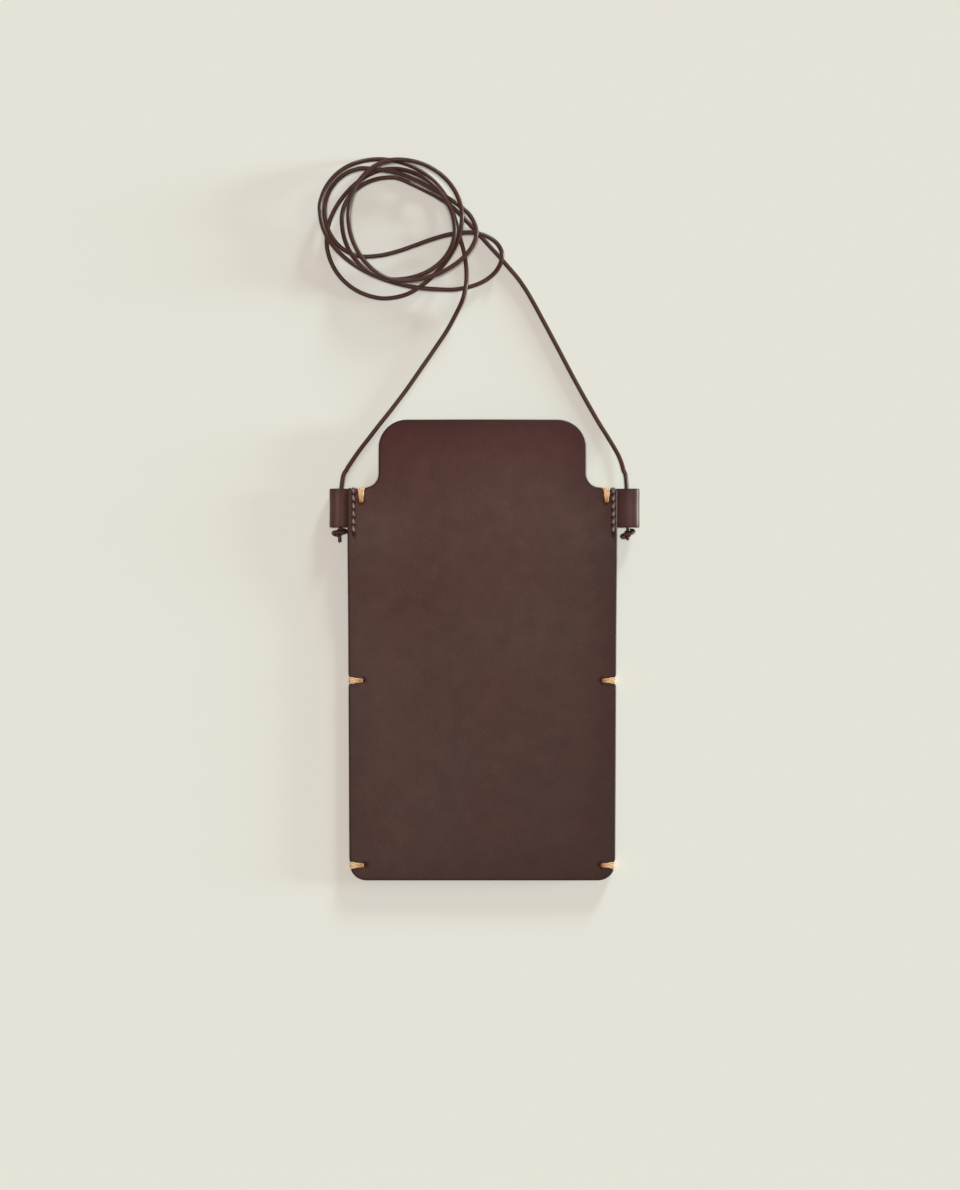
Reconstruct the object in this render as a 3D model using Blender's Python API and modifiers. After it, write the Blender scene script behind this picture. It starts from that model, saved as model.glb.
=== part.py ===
"""Leather phone case on a neck cord.

Two leather panels make a flat sleeve that is open at the top. The front panel
runs on past the mouth as a wide pull tab. A folded leather loop is sewn in at
each shoulder, six short ties hold the panels together at the edges, and one
long round leather cord runs through both loops and ends in a knot under each.
The case lies on its rear face: X across it, +Y towards the tab, +Z up.
"""
import math
from collections import namedtuple

import bmesh
import bpy
from mathutils import Matrix, Vector

MM = 0.001

# The panels
CASE_LENGTH = 180.0 * MM      # foot edge to the top of the tab
MOUTH_WIDTH = 105.4 * MM      # across the shoulders
FOOT_TAPER = 0.75 * MM        # by which the foot is narrower at each side
TAB_LENGTH = 26.4 * MM        # mouth line to the top of the tab
SHOULDER = 12.2 * MM          # side edge to the tab's side
TAB_CORNER = 11.0 * MM
TAB_FILLET = 5.3 * MM         # the hollow corner where the tab leaves the shoulder
FOOT_CORNER = 6.8 * MM
MOUTH_CORNER = 1.5 * MM
LEATHER = 1.8 * MM            # thickness of each panel
GLUE_LINE = 0.3 * MM          # between layers that are cemented or sewn face to face
SIDE_SEAM = 7.0 * MM          # width that is closed along each side
FOOT_SEAM = 8.0 * MM
POCKET_RISE = 2.5 * MM        # how far the front panel bows out at the mouth
POCKET_SWELL = 2.5            # above 1 the bow starts later above the foot
POCKET_CROWN = 2.0            # above 1 the bow narrows towards its middle
TAIL_RAMP = 42.0 * MM         # below a loop, where the front panel starts to rise
TAIL_MARGIN = 2.8 * MM        # below a loop, where it is level with the tail
TAB_SETTLE = 0.10             # share of that bow which the tab loses by its top
SHEET_COLUMNS = 18            # squares of the sheet that the front panel is cut from
SHEET_ROWS = 24
SHEET_MARGIN = 3.0 * MM       # it starts this much larger than the panel

# The loops
LOOP_LENGTH = 15.1 * MM       # along the case
LOOP_TOP_INSET = 0.5 * MM     # below the mouth line
LOOP_STEPS = 12               # flats round each half of the rounded part
LOOP_STRIP = 0.9 * MM         # leather of the folded strip
LOOP_FOLD_GAP = 0.2 * MM      # between the two ends of the strip
LOOP_TAIL = 7.4 * MM          # length that is sewn in between the panels

# The saddle stitch through each loop's tail
THREAD = 0.8 * MM
STITCH_COUNT = 5              # after the first one, which wraps the mouth edge
STITCH_PITCH = 3.0 * MM       # between the slits
STITCH_FROM_MOUTH = 2.8 * MM  # mouth edge to the first slit
AWL_CLEARANCE = 0.1 * MM      # between the thread and its slit, or a tie and its groove
STRAND_GAP = 0.2 * MM         # between two strands side by side in a slit or hole
THREAD_CLEARANCE = 0.2 * MM   # between a thread or tie and the leather it lies on
REAR_CLEARANCE = 0.05 * MM    # a thread or tie stays this far inside the rear face
BEND = 0.6                    # a strand's bends, as a share of its diameter

# The ties
TIE = 0.9 * MM                # diameter of a strand
TIE_HOLE_INSET = 5.5 * MM     # hole to edge, at the sides and foot
MOUTH_TIE_HOLE_INSET = 5.9 * MM
TIE_EDGE_GAP = 0.8 * MM       # between the two strands where they turn round the edge
TIE_HOLE_CLEARANCE = 0.15 * MM
TIE_HOLE_SIDES = 10
SIDE_TIE_Y = -11.8 * MM
FOOT_TIE_FROM_FOOT = 6.0 * MM

# The cord
CORD = 1.7 * MM
CORD_LIFT = 0.05 * MM         # of a strand that lies on the table
CORD_JOIN = 0.3 * MM          # between one stretch's end and the next one's start
CORD_STEP = 5.0 * MM          # between the points of a leg
KNOT_SIZE = 1.7 * MM          # scale of the knot's own points
KNOT_CORD = 1.3 * MM          # the cord is drawn thin where it is knotted
STRAP_SLIDE = 4.0 * MM        # how far the cord can be drawn down through the loops

# What differs from side to side, as the case is sewn by hand: the stitch row's
# way in from the side edge, and from there to the mouth tie; how far the loop
# stands out past the side edge, and the height of its rounded part; the side
# edge to the cord's middle; and the knot's middle below the loop, its turn in
# degrees clockwise, and the cord left past it
Side = namedtuple("Side", "name sign stitch_inset tie_from_row loop_reach loop_height "
                          "cord_from_side knot_below_loop knot_turn knot_tail")
SIDES = (
    Side(name="left", sign=-1, stitch_inset=2.4 * MM, tie_from_row=3.0 * MM,
         loop_reach=7.1 * MM, loop_height=5.2 * MM, cord_from_side=3.1 * MM,
         knot_below_loop=1.9 * MM, knot_turn=26.0, knot_tail=1.9 * MM),
    Side(name="right", sign=1, stitch_inset=1.6 * MM, tie_from_row=2.6 * MM,
         loop_reach=8.8 * MM, loop_height=4.2 * MM, cord_from_side=4.2 * MM,
         knot_below_loop=2.5 * MM, knot_turn=8.0, knot_tail=0.4 * MM),
)

# Worked out from the sizes above
FOOT_WIDTH = MOUTH_WIDTH - 2 * FOOT_TAPER
TAB_WIDTH = MOUTH_WIDTH - 2 * SHOULDER
Y_TOP = CASE_LENGTH / 2
Y_FOOT = -CASE_LENGTH / 2
Y_MOUTH = Y_TOP - TAB_LENGTH
LOOP_Y1 = Y_MOUTH - LOOP_TOP_INSET
LOOP_Y0 = LOOP_Y1 - LOOP_LENGTH
TAIL_THICKNESS = 2 * LOOP_STRIP + LOOP_FOLD_GAP
TAIL_MIDDLE = LEATHER + GLUE_LINE + TAIL_THICKNESS / 2
LOOP_LIFT = TAIL_THICKNESS + GLUE_LINE
SIDE_X = MOUTH_WIDTH / 2
FRONT_TOP_SEAM = 2 * LEATHER + GLUE_LINE
FRONT_TOP_MOUTH = FRONT_TOP_SEAM + LOOP_LIFT
STITCH_SLANT = (THREAD + STRAND_GAP) / 2
TIE_PITCH = (TIE + STRAND_GAP) / 2
TIE_SPREAD = (TIE + TIE_EDGE_GAP) / 2

# Route of the left leg from its loop to the coil, and of the right leg from
# the coil to its loop: x, y in the case's frame, and height over the table
LEFT_LEG = (
    (-54.6, 67.2, 2.25), (-53.1, 70.6, 2.10), (-51.6, 73.1, 1.50), (-49.4, 76.4, 0.80),
    (-47.1, 79.6, 0.25), (-44.2, 83.3, 0.0), (-40.1, 88.6, 0.0), (-35.7, 94.1, 0.0),
    (-29.8, 101.9, 0.0), (-24.3, 109.8, 0.0), (-18.9, 117.6, 0.0), (-13.7, 125.4, 0.3),
    (-10.3, 131.6, 1.4), (-7.7, 137.0, 3.30), (-6.4, 142.6, 3.60), (-6.2, 147.9, 1.70),
    (-6.6, 152.5, 0.15), (-7.4, 156.8, 0.0), (-8.5, 160.7, 0.0), (-9.4, 164.0, 0.0),
)
RIGHT_LEG = (
    (-32.3, 184.6, 0.0), (-26.8, 182.2, 0.0), (-22.1, 179.9, 0.0), (-17.8, 177.6, 0.8),
    (-13.1, 174.4, 2.25), (-8.9, 170.7, 2.10), (-5.1, 166.9, 0.2), (-1.7, 163.3, 0.0),
    (2.2, 159.0, 0.0), (6.7, 154.1, 0.0), (10.7, 149.5, 0.0), (14.8, 144.5, 0.0),
    (19.4, 137.2, 0.0), (27.9, 121.5, 0.0), (36.2, 105.8, 0.0), (44.5, 91.0, 0.0),
    (49.3, 83.2, 0.2), (52.8, 77.2, 0.9), (54.4, 73.4, 1.70), (55.2, 70.4, 2.20),
    (56.2, 67.2, 2.25),
)

# The coil is laid as quarter turns between the places where the cord reaches
# furthest right, top, left or bottom. Each row: the reach, its x and y, how
# much the quarter before it is flattened, and the heights over the table at
# the middle of that quarter and at the reach
Reach = namedtuple("Reach", "side x y flat lift_between lift")
COIL_START_SHARE = 0.115      # the first quarter starts this far round
COIL_REACHES = tuple(Reach(*row) for row in (
    ("right", -9.7, 161.5, 0.00, 0.0, 0.0),
    ("top", -40.1, 192.3, 0.00, 0.0, 0.0),
    ("left", -63.4, 171.8, 0.00, 3.9, 4.9),
    ("bottom", -14.2, 141.0, 0.00, 2.0, 2.2),
    ("right", 7.7, 154.4, 0.00, 0.0, 2.4),
    ("top", -5.6, 163.4, 0.00, 2.3, 2.3),
    ("bottom", -45.6, 154.0, 0.00, 1.4, 1.4),
    ("left", -61.7, 171.7, 0.00, 1.5, 3.1),
    ("top", -45.6, 188.5, 0.00, 2.1, 2.1),
    ("right", -2.3, 163.5, 0.10, 3.4, 4.5),
    ("bottom", -31.5, 144.0, 0.03, 4.5, 6.4),
    ("left", -52.3, 169.3, 0.02, 6.4, 4.3),
    ("top", -33.0, 191.6, 0.00, 4.3, 4.3),
    ("right", -7.9, 168.6, 0.00, 5.2, 6.2),
    ("bottom", -37.4, 137.8, 0.06, 0.0, 0.0),
    ("left", -61.0, 160.7, 0.00, 0.0, 0.0),
    ("top", -35.4, 188.6, 0.04, 0.0, 0.0),
    ("right", -10.7, 163.9, 0.03, 5.6, 6.3),
    ("bottom", -34.2, 144.8, 0.00, 4.2, 4.2),
    ("left", -55.0, 168.6, 0.00, 4.2, 1.1),
    ("top", -35.8, 185.2, 0.00, 1.3, 0.0),
))
POINTS_A_QUARTER = 6
CURVE_PARTS = 12              # finely drawn points between two of a leg's own
NEIGHBOURS = 4                # stretches of a strand this many diameters apart may touch

# Half of an overhand knot's path, from the middle of its front band: x across,
# y up the cord, z towards the viewer, in units of KNOT_SIZE. The other half is
# this one turned half round about z. The cord leaves it along KNOT_EXIT
KNOT_HALF = (
    (0.0, 0.0, 0.62), (-0.62, -0.22, 0.52), (-1.14, -0.52, 0.12), (-1.30, -0.80, -0.42),
    (-0.88, -0.98, -0.92), (-0.10, -0.74, -1.10), (0.50, -0.06, -0.58), (0.12, 0.66, -0.08),
)
KNOT_EXIT = ((0.0, 1.22, 0.04), (0.0, 1.48, 0.02))

# A tie's hole, the way from there to the edge and how far it is, and the height
# of the leather under its strands
Tie = namedtuple("Tie", "name x y out_x out_y inset top")


def clamp(value):
    return max(0.0, min(1.0, value))


def ease(share):
    """0 to 1 with a level start and end."""
    return (1 - math.cos(math.pi * clamp(share))) / 2


def side_x(y):
    """Half the case's width at a height along it."""
    share = clamp((Y_MOUTH - y) / (Y_MOUTH - Y_FOOT))
    return (MOUTH_WIDTH + (FOOT_WIDTH - MOUTH_WIDTH) * share) / 2


def front_underside(x, y):
    """Height of the front panel's inner face: over the loops' tails at the sides,
    bowed out for the phone between them, and easing down again along the tab."""
    at_sides = LOOP_LIFT * ease((y - LOOP_Y0 + TAIL_RAMP) / (TAIL_RAMP - TAIL_MARGIN))
    foot = Y_FOOT + FOOT_SEAM
    along = math.sin(math.pi / 2 * clamp((y - foot) / (Y_MOUTH - foot)) ** POCKET_SWELL)
    between = (LOOP_LIFT + POCKET_RISE) * along
    middle = max(0.0, 1 - (x / (SIDE_X - SIDE_SEAM)) ** 2) ** POCKET_CROWN
    settled = 1 - TAB_SETTLE * ease((y - Y_MOUTH) / TAB_LENGTH)
    return LEATHER + GLUE_LINE + (at_sides * (1 - middle) + between * middle) * settled


def arc(center, radius, start, end, steps):
    """Points on an arc, angles in degrees."""
    points = []
    for i in range(steps + 1):
        angle = math.radians(start + (end - start) * i / steps)
        points.append((center[0] + radius * math.cos(angle), center[1] + radius * math.sin(angle)))
    return points


def half_outline(with_tab):
    """Right half of a panel's outline, foot to top."""
    foot_half = FOOT_WIDTH / 2
    points = arc((foot_half - FOOT_CORNER, Y_FOOT + FOOT_CORNER), FOOT_CORNER, -90, 0, 6)
    points += arc((SIDE_X - MOUTH_CORNER, Y_MOUTH - MOUTH_CORNER), MOUTH_CORNER, 0, 90, 3)
    if with_tab:
        tab_half = TAB_WIDTH / 2
        points += arc((tab_half + TAB_FILLET, Y_MOUTH + TAB_FILLET), TAB_FILLET, 270, 180, 5)
        points += arc((tab_half - TAB_CORNER, Y_TOP - TAB_CORNER), TAB_CORNER, 0, 90, 8)
    return points


def panel_outline(with_tab):
    right = half_outline(with_tab)
    left = [(-x, y) for x, y in reversed(right)]
    return right + left


def collection(name):
    made = bpy.data.collections.new(name)
    bpy.context.scene.collection.children.link(made)
    return made


def material(name, color, roughness):
    made = bpy.data.materials.new(name)
    made.use_nodes = True
    shader = made.node_tree.nodes["Principled BSDF"]
    shader.inputs["Base Color"].default_value = (*color, 1.0)
    shader.inputs["Roughness"].default_value = roughness
    shader.inputs["Metallic"].default_value = 0.0
    return made


def finish_piece(obj, home, finish):
    """Links a piece, gives it its material and shades it smooth."""
    home.objects.link(obj)
    obj.data.materials.append(finish)
    if obj.type == "MESH":
        obj.data.shade_smooth()
        obj.data.set_sharp_from_angle(angle=math.radians(35))
    return obj


def mesh_from(name, built):
    mesh = bpy.data.meshes.new(name)
    built.to_mesh(mesh)
    built.free()
    return bpy.data.objects.new(name, mesh)


def prism(name, outline, z_low, z_high):
    """A flat outline given a thickness, as a closed mesh."""
    curve = bpy.data.curves.new(name, "CURVE")
    curve.dimensions = "2D"
    curve.fill_mode = "BOTH"
    curve.extrude = (z_high - z_low) / 2
    spline = curve.splines.new("POLY")
    spline.points.add(len(outline) - 1)
    for point, (x, y) in zip(spline.points, outline):
        point.co = (x, y, 0, 1)
    spline.use_cyclic_u = True
    guide = bpy.data.objects.new(name, curve)
    bpy.context.scene.collection.objects.link(guide)
    bpy.context.view_layer.update()
    evaluated = guide.evaluated_get(bpy.context.evaluated_depsgraph_get())
    mesh = bpy.data.meshes.new_from_object(evaluated)
    bpy.data.objects.remove(guide)
    built = bmesh.new()
    built.from_mesh(mesh)
    bmesh.ops.translate(built, verts=built.verts, vec=(0, 0, (z_low + z_high) / 2))
    bmesh.ops.remove_doubles(built, verts=built.verts, dist=1e-6)
    bmesh.ops.recalc_face_normals(built, faces=built.faces)
    built.to_mesh(mesh)
    built.free()
    mesh.name = name
    return bpy.data.objects.new(name, mesh)


def as_cutter(obj, home):
    home.objects.link(obj)
    obj.hide_render = True
    obj.display_type = "WIRE"
    return obj


def boolean(obj, cutter, operation="DIFFERENCE"):
    modifier = obj.modifiers.new(cutter.name, "BOOLEAN")
    modifier.operation = operation
    modifier.object = cutter


def solidify(obj, thickness, offset):
    modifier = obj.modifiers.new("Leather", "SOLIDIFY")
    modifier.thickness = thickness
    modifier.offset = offset
    modifier.use_even_offset = True


def tube(name, points, diameter, resolution):
    """A round strand with closed ends along given points."""
    curve = bpy.data.curves.new(name, "CURVE")
    curve.dimensions = "3D"
    curve.bevel_depth = diameter / 2
    curve.bevel_resolution = resolution
    curve.use_fill_caps = True
    curve.resolution_u = 1
    spline = curve.splines.new("POLY")
    spline.points.add(len(points) - 1)
    for point, place in zip(spline.points, points):
        point.co = (*place, 1)
    return bpy.data.objects.new(name, curve)


def rounded(corners, radius, steps):
    """A path through corners with each inner corner turned on a small curve."""
    path = [Vector(corners[0])]
    for before, corner, after in zip(corners, corners[1:], corners[2:]):
        before, corner, after = Vector(before), Vector(corner), Vector(after)
        reach_in = min(radius, (before - corner).length * 0.45)
        reach_out = min(radius, (after - corner).length * 0.45)
        start = corner + (before - corner).normalized() * reach_in
        end = corner + (after - corner).normalized() * reach_out
        for i in range(steps + 1):
            share = i / steps
            path.append(start * (1 - share) ** 2 + corner * 2 * share * (1 - share) + end * share ** 2)
    path.append(Vector(corners[-1]))
    return path


def smooth_curve(points, parts):
    """Many points on one smooth curve through the given ones."""
    ends = [points[0] * 2 - points[1]] + points + [points[-1] * 2 - points[-2]]
    path = []
    for a, b, c, d in zip(ends, ends[1:], ends[2:], ends[3:]):
        for i in range(parts):
            t = i / parts
            path.append((b * 2 + (c - a) * t + (a * 2 - b * 5 + c * 4 - d) * t ** 2
                         + (b * 3 - a - c * 3 + d) * t ** 3) / 2)
    path.append(points[-1])
    return path


def evenly(path, step):
    """Points at an even step along a finely drawn path."""
    lengths = [0.0]
    for a, b in zip(path, path[1:]):
        lengths.append(lengths[-1] + (b - a).length)
    count = max(2, round(lengths[-1] / step))
    picked = []
    at = 0
    for i in range(count + 1):
        target = lengths[-1] * i / count
        while at < len(lengths) - 2 and lengths[at + 1] < target:
            at += 1
        span = lengths[at + 1] - lengths[at]
        picked.append(path[at].lerp(path[at + 1], clamp((target - lengths[at]) / span)))
    return picked


# Holes, and recesses that keep the thread and ties clear of the rear face

def stitch_x(side):
    return side.sign * (SIDE_X - side.stitch_inset)


def stitch_places():
    """Along the case: the slits of a stitch row, from the mouth on."""
    return [Y_MOUTH - STITCH_FROM_MOUTH - STITCH_PITCH * i for i in range(STITCH_COUNT + 1)]


def stitch_slit():
    """Width and length of one slit, which holds two strands side by side."""
    return 2 * (STITCH_SLANT + THREAD / 2 + AWL_CLEARANCE), THREAD + 2 * AWL_CLEARANCE


def tie_places():
    foot_y = Y_FOOT + FOOT_TIE_FROM_FOOT
    ties = []
    for side in SIDES:
        mouth_x = stitch_x(side) - side.sign * side.tie_from_row
        ties.append(Tie(f"{side.name}_mouth_tie", mouth_x, Y_MOUTH - MOUTH_TIE_HOLE_INSET, 0, 1,
                        MOUTH_TIE_HOLE_INSET, FRONT_TOP_MOUTH))
        for name, y in (("side_tie", SIDE_TIE_Y), ("foot_tie", foot_y)):
            hole_x = side.sign * (side_x(y) - TIE_HOLE_INSET)
            ties.append(Tie(f"{side.name}_{name}", hole_x, y, side.sign, 0, TIE_HOLE_INSET,
                            FRONT_TOP_SEAM))
    return ties


def add_box(built, middle, size):
    made = bmesh.ops.create_cube(built, size=1.0)
    bmesh.ops.scale(built, verts=made["verts"], vec=size)
    bmesh.ops.translate(built, verts=made["verts"], vec=middle)


def hole_cutter(home):
    """Every awl slit and tie hole, right through all the layers."""
    built = bmesh.new()
    height = FRONT_TOP_MOUTH * 2
    radius = (TIE_PITCH + TIE / 2 + TIE_HOLE_CLEARANCE) / math.cos(math.pi / TIE_HOLE_SIDES)
    for place in tie_places():
        made = bmesh.ops.create_cone(built, cap_ends=True, segments=TIE_HOLE_SIDES,
                                     radius1=radius, radius2=radius, depth=height)
        bmesh.ops.translate(built, verts=made["verts"], vec=(place.x, place.y, FRONT_TOP_MOUTH / 2))
    for side in SIDES:
        for y in stitch_places():
            add_box(built, (stitch_x(side), y, FRONT_TOP_MOUTH / 2), (*stitch_slit(), height))
    return as_cutter(mesh_from("holes", built), home)


def recess_cutter(home):
    """Grooves in the rear face for the thread and for each tie's two strands."""
    built = bmesh.new()
    slit_width, slit_length = stitch_slit()
    start = stitch_places()[-1] - slit_length / 2
    length = Y_MOUTH + 3 * THREAD - start
    depth = THREAD + THREAD_CLEARANCE + REAR_CLEARANCE
    for side in SIDES:
        add_box(built, (stitch_x(side), start + length / 2, 0), (slit_width, length, 2 * depth))
    width = 2 * (TIE_SPREAD + TIE / 2 + AWL_CLEARANCE)
    depth = TIE + THREAD_CLEARANCE + REAR_CLEARANCE
    for place in tie_places():
        length = place.inset + 3 * TIE
        middle = (place.x + place.out_x * length / 2, place.y + place.out_y * length / 2, 0)
        size = (length, width) if place.out_x else (width, length)
        add_box(built, middle, (*size, 2 * depth))
    return as_cutter(mesh_from("recesses", built), home)


# The leather pieces

def rear_panel(holes, recesses):
    obj = prism("rear_panel", panel_outline(False), 0, LEATHER)
    boolean(obj, recesses)
    boolean(obj, holes)
    return obj


def front_panel(holes, cutters):
    """A bowed sheet, cut to its outline."""
    built = bmesh.new()
    bmesh.ops.create_grid(built, x_segments=SHEET_COLUMNS, y_segments=SHEET_ROWS, size=1.0)
    for vert in built.verts:
        x = vert.co.x * (SIDE_X + SHEET_MARGIN)
        y = vert.co.y * (CASE_LENGTH / 2 + SHEET_MARGIN)
        vert.co = (x, y, front_underside(x, y))
    obj = mesh_from("front_panel", built)
    solidify(obj, LEATHER, 1.0)
    height = FRONT_TOP_MOUTH + POCKET_RISE + LEATHER
    outline = as_cutter(prism("front_outline", panel_outline(True), -height, 2 * height), cutters)
    boolean(obj, outline, "INTERSECT")
    boolean(obj, holes)
    return obj


def loop_profile(side):
    """Middle line of the folded strip, seen along the case: tail, round part, tail."""
    end_x = SIDE_X + side.loop_reach - LOOP_STRIP / 2
    tail = (LOOP_STRIP + LOOP_FOLD_GAP) / 2
    turns = [math.pi * i / LOOP_STEPS for i in range(LOOP_STEPS + 1)]
    rises = [math.sin(turn) * math.sin(turn / 2) for turn in turns]
    belly = ((side.loop_height - LOOP_STRIP) / 2 - tail / 2) / max(rises)
    lower = [(SIDE_X - LOOP_TAIL, -tail), (SIDE_X - LOOP_TAIL / 2, -tail)]
    for turn, rise in zip(turns, rises):
        x = SIDE_X + (end_x - SIDE_X) * (1 - math.cos(turn)) / 2
        lower.append((x, -tail * math.cos(turn / 2) - belly * rise))
    upper = [(x, -z) for x, z in reversed(lower[:-1])]
    return [(side.sign * x, TAIL_MIDDLE + z) for x, z in lower + upper]


def cord_loop(side, holes):
    built = bmesh.new()
    verts = [built.verts.new((x, LOOP_Y0, z)) for x, z in loop_profile(side)]
    edges = [built.edges.new(pair) for pair in zip(verts, verts[1:])]
    drawn = bmesh.ops.extrude_edge_only(built, edges=edges)["geom"]
    moved = [item for item in drawn if isinstance(item, bmesh.types.BMVert)]
    bmesh.ops.translate(built, verts=moved, vec=(0, LOOP_LENGTH, 0))
    bmesh.ops.recalc_face_normals(built, faces=built.faces)
    obj = mesh_from(f"{side.name}_loop", built)
    solidify(obj, LOOP_STRIP, 0.0)
    boolean(obj, holes)
    return obj


# Thread and ties

def stitch_row(side):
    """One thread: round the mouth edge, down the row in and out, and back up it
    through the same slits, so that a stitch shows on both faces between any two."""
    low = REAR_CLEARANCE + THREAD / 2
    high = FRONT_TOP_MOUTH + THREAD_CLEARANCE + THREAD / 2
    edge = Y_MOUTH + THREAD_CLEARANCE + THREAD / 2
    slits = stitch_places()
    first = slits[0]
    corners = [(-1, first, (low + high) / 2), (-1, first, high), (0, edge, high), (0, edge, low),
               (1, first, low), (1, first, high)]
    on_top = True
    for y in slits[1:]:
        slant = -1 if on_top else 1
        corners += [(slant, y, high if on_top else low), (slant, y, low if on_top else high)]
        on_top = not on_top
    for y in reversed(slits[1:-1]):
        slant = 1 if on_top else -1
        corners += [(slant, y, high if on_top else low), (slant, y, low if on_top else high)]
        on_top = not on_top
    corners.append((-1, first - 2 * THREAD, low))
    row_x = stitch_x(side)
    places = [(row_x + side.sign * slant * STITCH_SLANT, y, z) for slant, y, z in corners]
    return tube(f"{side.name}_loop_stitching", rounded(places, THREAD * BEND, 1), THREAD, 1)


def tie(place):
    """One strand that goes twice through its hole and round the edge."""
    out = Vector((place.out_x, place.out_y, 0))
    along = Vector((-place.out_y, place.out_x, 0))
    reach = place.inset + THREAD_CLEARANCE + TIE / 2
    low = REAR_CLEARANCE + TIE / 2
    high = place.top + THREAD_CLEARANCE + TIE / 2
    middle = (low + high) / 2
    corners = (
        (0, TIE_PITCH, middle + TIE),
        (0, TIE_PITCH, high),
        (reach, TIE_SPREAD, high),
        (reach, TIE_SPREAD, low),
        (0, TIE_PITCH, low),
        (0, -TIE_PITCH, middle),
        (0, -TIE_PITCH, high),
        (reach, -TIE_SPREAD, high),
        (reach, -TIE_SPREAD, low),
        (TIE * 2, -TIE_PITCH, low),
    )
    hole = Vector((place.x, place.y, 0))
    places = [hole + out * u + along * v + Vector((0, 0, z)) for u, v, z in corners]
    return tube(place.name, rounded(places, TIE * BEND, 2), TIE, 1)


# The cord

def cord_x(side):
    return side.sign * (SIDE_X + side.cord_from_side)


def leg_path(route, side, coil_end):
    """A leg from its knot: straight through half of the loop, then along its route."""
    from_knot = knot_path(side)[-1].y + CORD_JOIN
    straight = (from_knot, LOOP_Y0 + LOOP_LENGTH / 2)
    places = [Vector((cord_x(side), y, TAIL_MIDDLE)) for y in straight]
    places += [on_table(*place) for place in route]
    return evenly(smooth_curve(places + [coil_end], CURVE_PARTS), CORD_STEP)


def knot_path(side):
    """The overhand knot: tail at the bottom, cord to the loop at the top."""
    turn = Matrix.Rotation(math.radians(-side.knot_turn), 3, "Z")
    up = [turn @ Vector(place) for place in KNOT_HALF]
    up += [Vector(place) for place in KNOT_EXIT]
    down = [Vector((-p.x, -p.y, p.z)) for p in reversed(up[1:])]
    down[0] = down[1] + Vector((0, -side.knot_tail / KNOT_SIZE, 0))
    centre = Vector((cord_x(side), LOOP_Y0 - side.knot_below_loop, TAIL_MIDDLE))
    return [centre + place * KNOT_SIZE for place in smooth_curve(down + up, 2)]


def on_table(x, y, lift):
    """Middle of the cord at a place given in millimetres, with its height over the table."""
    return Vector((x * MM, y * MM, CORD / 2 + CORD_LIFT + lift * MM))


def quarter(before, after, share):
    """x and y part of the way from one reach of the coil to the next."""
    across = after.x - before.x
    along = after.y - before.y
    upright = ("left", "right")
    if before.side not in upright and after.side not in upright:
        return before.x + across * share, before.y + along * ease(share)
    angle = share * math.pi / 2
    pull = 1 - after.flat * math.sin(2 * angle) ** 2
    if before.side in upright:
        return after.x - across * math.cos(angle) * pull, before.y + along * math.sin(angle) * pull
    return before.x + across * math.sin(angle) * pull, after.y - along * math.cos(angle) * pull


def coil_path():
    places = []
    first_share = COIL_START_SHARE
    for before, after in zip(COIL_REACHES, COIL_REACHES[1:]):
        for step in range(POINTS_A_QUARTER):
            part = step / POINTS_A_QUARTER
            x, y = quarter(before, after, first_share + (1 - first_share) * part)
            if part < 0.5:
                lift = before.lift + (after.lift_between - before.lift) * ease(part * 2)
            else:
                lift = after.lift_between + (after.lift - after.lift_between) * ease(part * 2 - 1)
            places.append(on_table(x, y, lift))
        first_share = 0.0
    last = COIL_REACHES[-1]
    places.append(on_table(last.x, last.y, last.lift))
    return places


def least_gap(path, diameter):
    """Least clear distance between parts of a tube that aren't neighbours."""
    fine = evenly(path, diameter / 2)
    least = length(path)
    for i, place in enumerate(fine):
        for other in fine[i + 2 * NEIGHBOURS:]:
            least = min(least, (place - other).length)
    return least - diameter


def length(path):
    return sum((b - a).length for a, b in zip(path, path[1:]))


def shortened(path, gap):
    """A path that stops short of its last point by a gap."""
    direction = (path[-1] - path[-2]).normalized()
    return path[:-1] + [path[-1] - direction * gap]


def cord_pieces():
    coil = coil_path()
    routes = (LEFT_LEG, RIGHT_LEG[::-1])
    ends = (coil[0], coil[-1])
    left, right = [leg_path(*leg) for leg in zip(routes, SIDES, ends)]
    whole = left + coil[1:] + right[::-1][1:]
    print("cord, knot to knot:", round(length(whole) / MM), "mm; coil alone:",
          round(length(coil) / MM), "mm; least gap:", round(least_gap(whole, CORD) / MM, 2), "mm")
    pieces = [
        tube("cord_left_leg", shortened(left, CORD_JOIN), CORD, 2),
        tube("cord_coil", coil, CORD, 1),
        tube("cord_right_leg", shortened(right, CORD_JOIN), CORD, 2),
    ]
    for side in SIDES:
        knot = knot_path(side)
        print(side.name, "knot:", round(length(knot) / MM), "mm of cord; least gap:",
              round(least_gap(knot, KNOT_CORD) / MM, 2), "mm")
        pieces.append(tube(f"{side.name}_knot", knot, KNOT_CORD, 2))
    return pieces


def main():
    for obj in list(bpy.data.objects):
        bpy.data.objects.remove(obj)
    case = collection("leather_phone_case")
    cutters = collection("cutters")
    panel_leather = material("panel_leather", (0.085, 0.044, 0.037), 0.55)
    loop_leather = material("loop_leather", (0.075, 0.036, 0.030), 0.50)
    cord_leather = material("cord_leather", (0.055, 0.022, 0.018), 0.35)
    tie_thread = material("tie_thread", (0.71, 0.43, 0.19), 0.60)
    dark_thread = material("dark_thread", (0.10, 0.035, 0.030), 0.45)

    holes = hole_cutter(cutters)
    recesses = recess_cutter(cutters)
    finish_piece(rear_panel(holes, recesses), case, panel_leather)
    finish_piece(front_panel(holes, cutters), case, panel_leather)
    for side in SIDES:
        finish_piece(cord_loop(side, holes), case, loop_leather)
        finish_piece(stitch_row(side), case, dark_thread)
    for place in tie_places():
        finish_piece(tie(place), case, tie_thread)
    for obj in cord_pieces():
        finish_piece(obj, case, cord_leather)


main()
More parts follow.
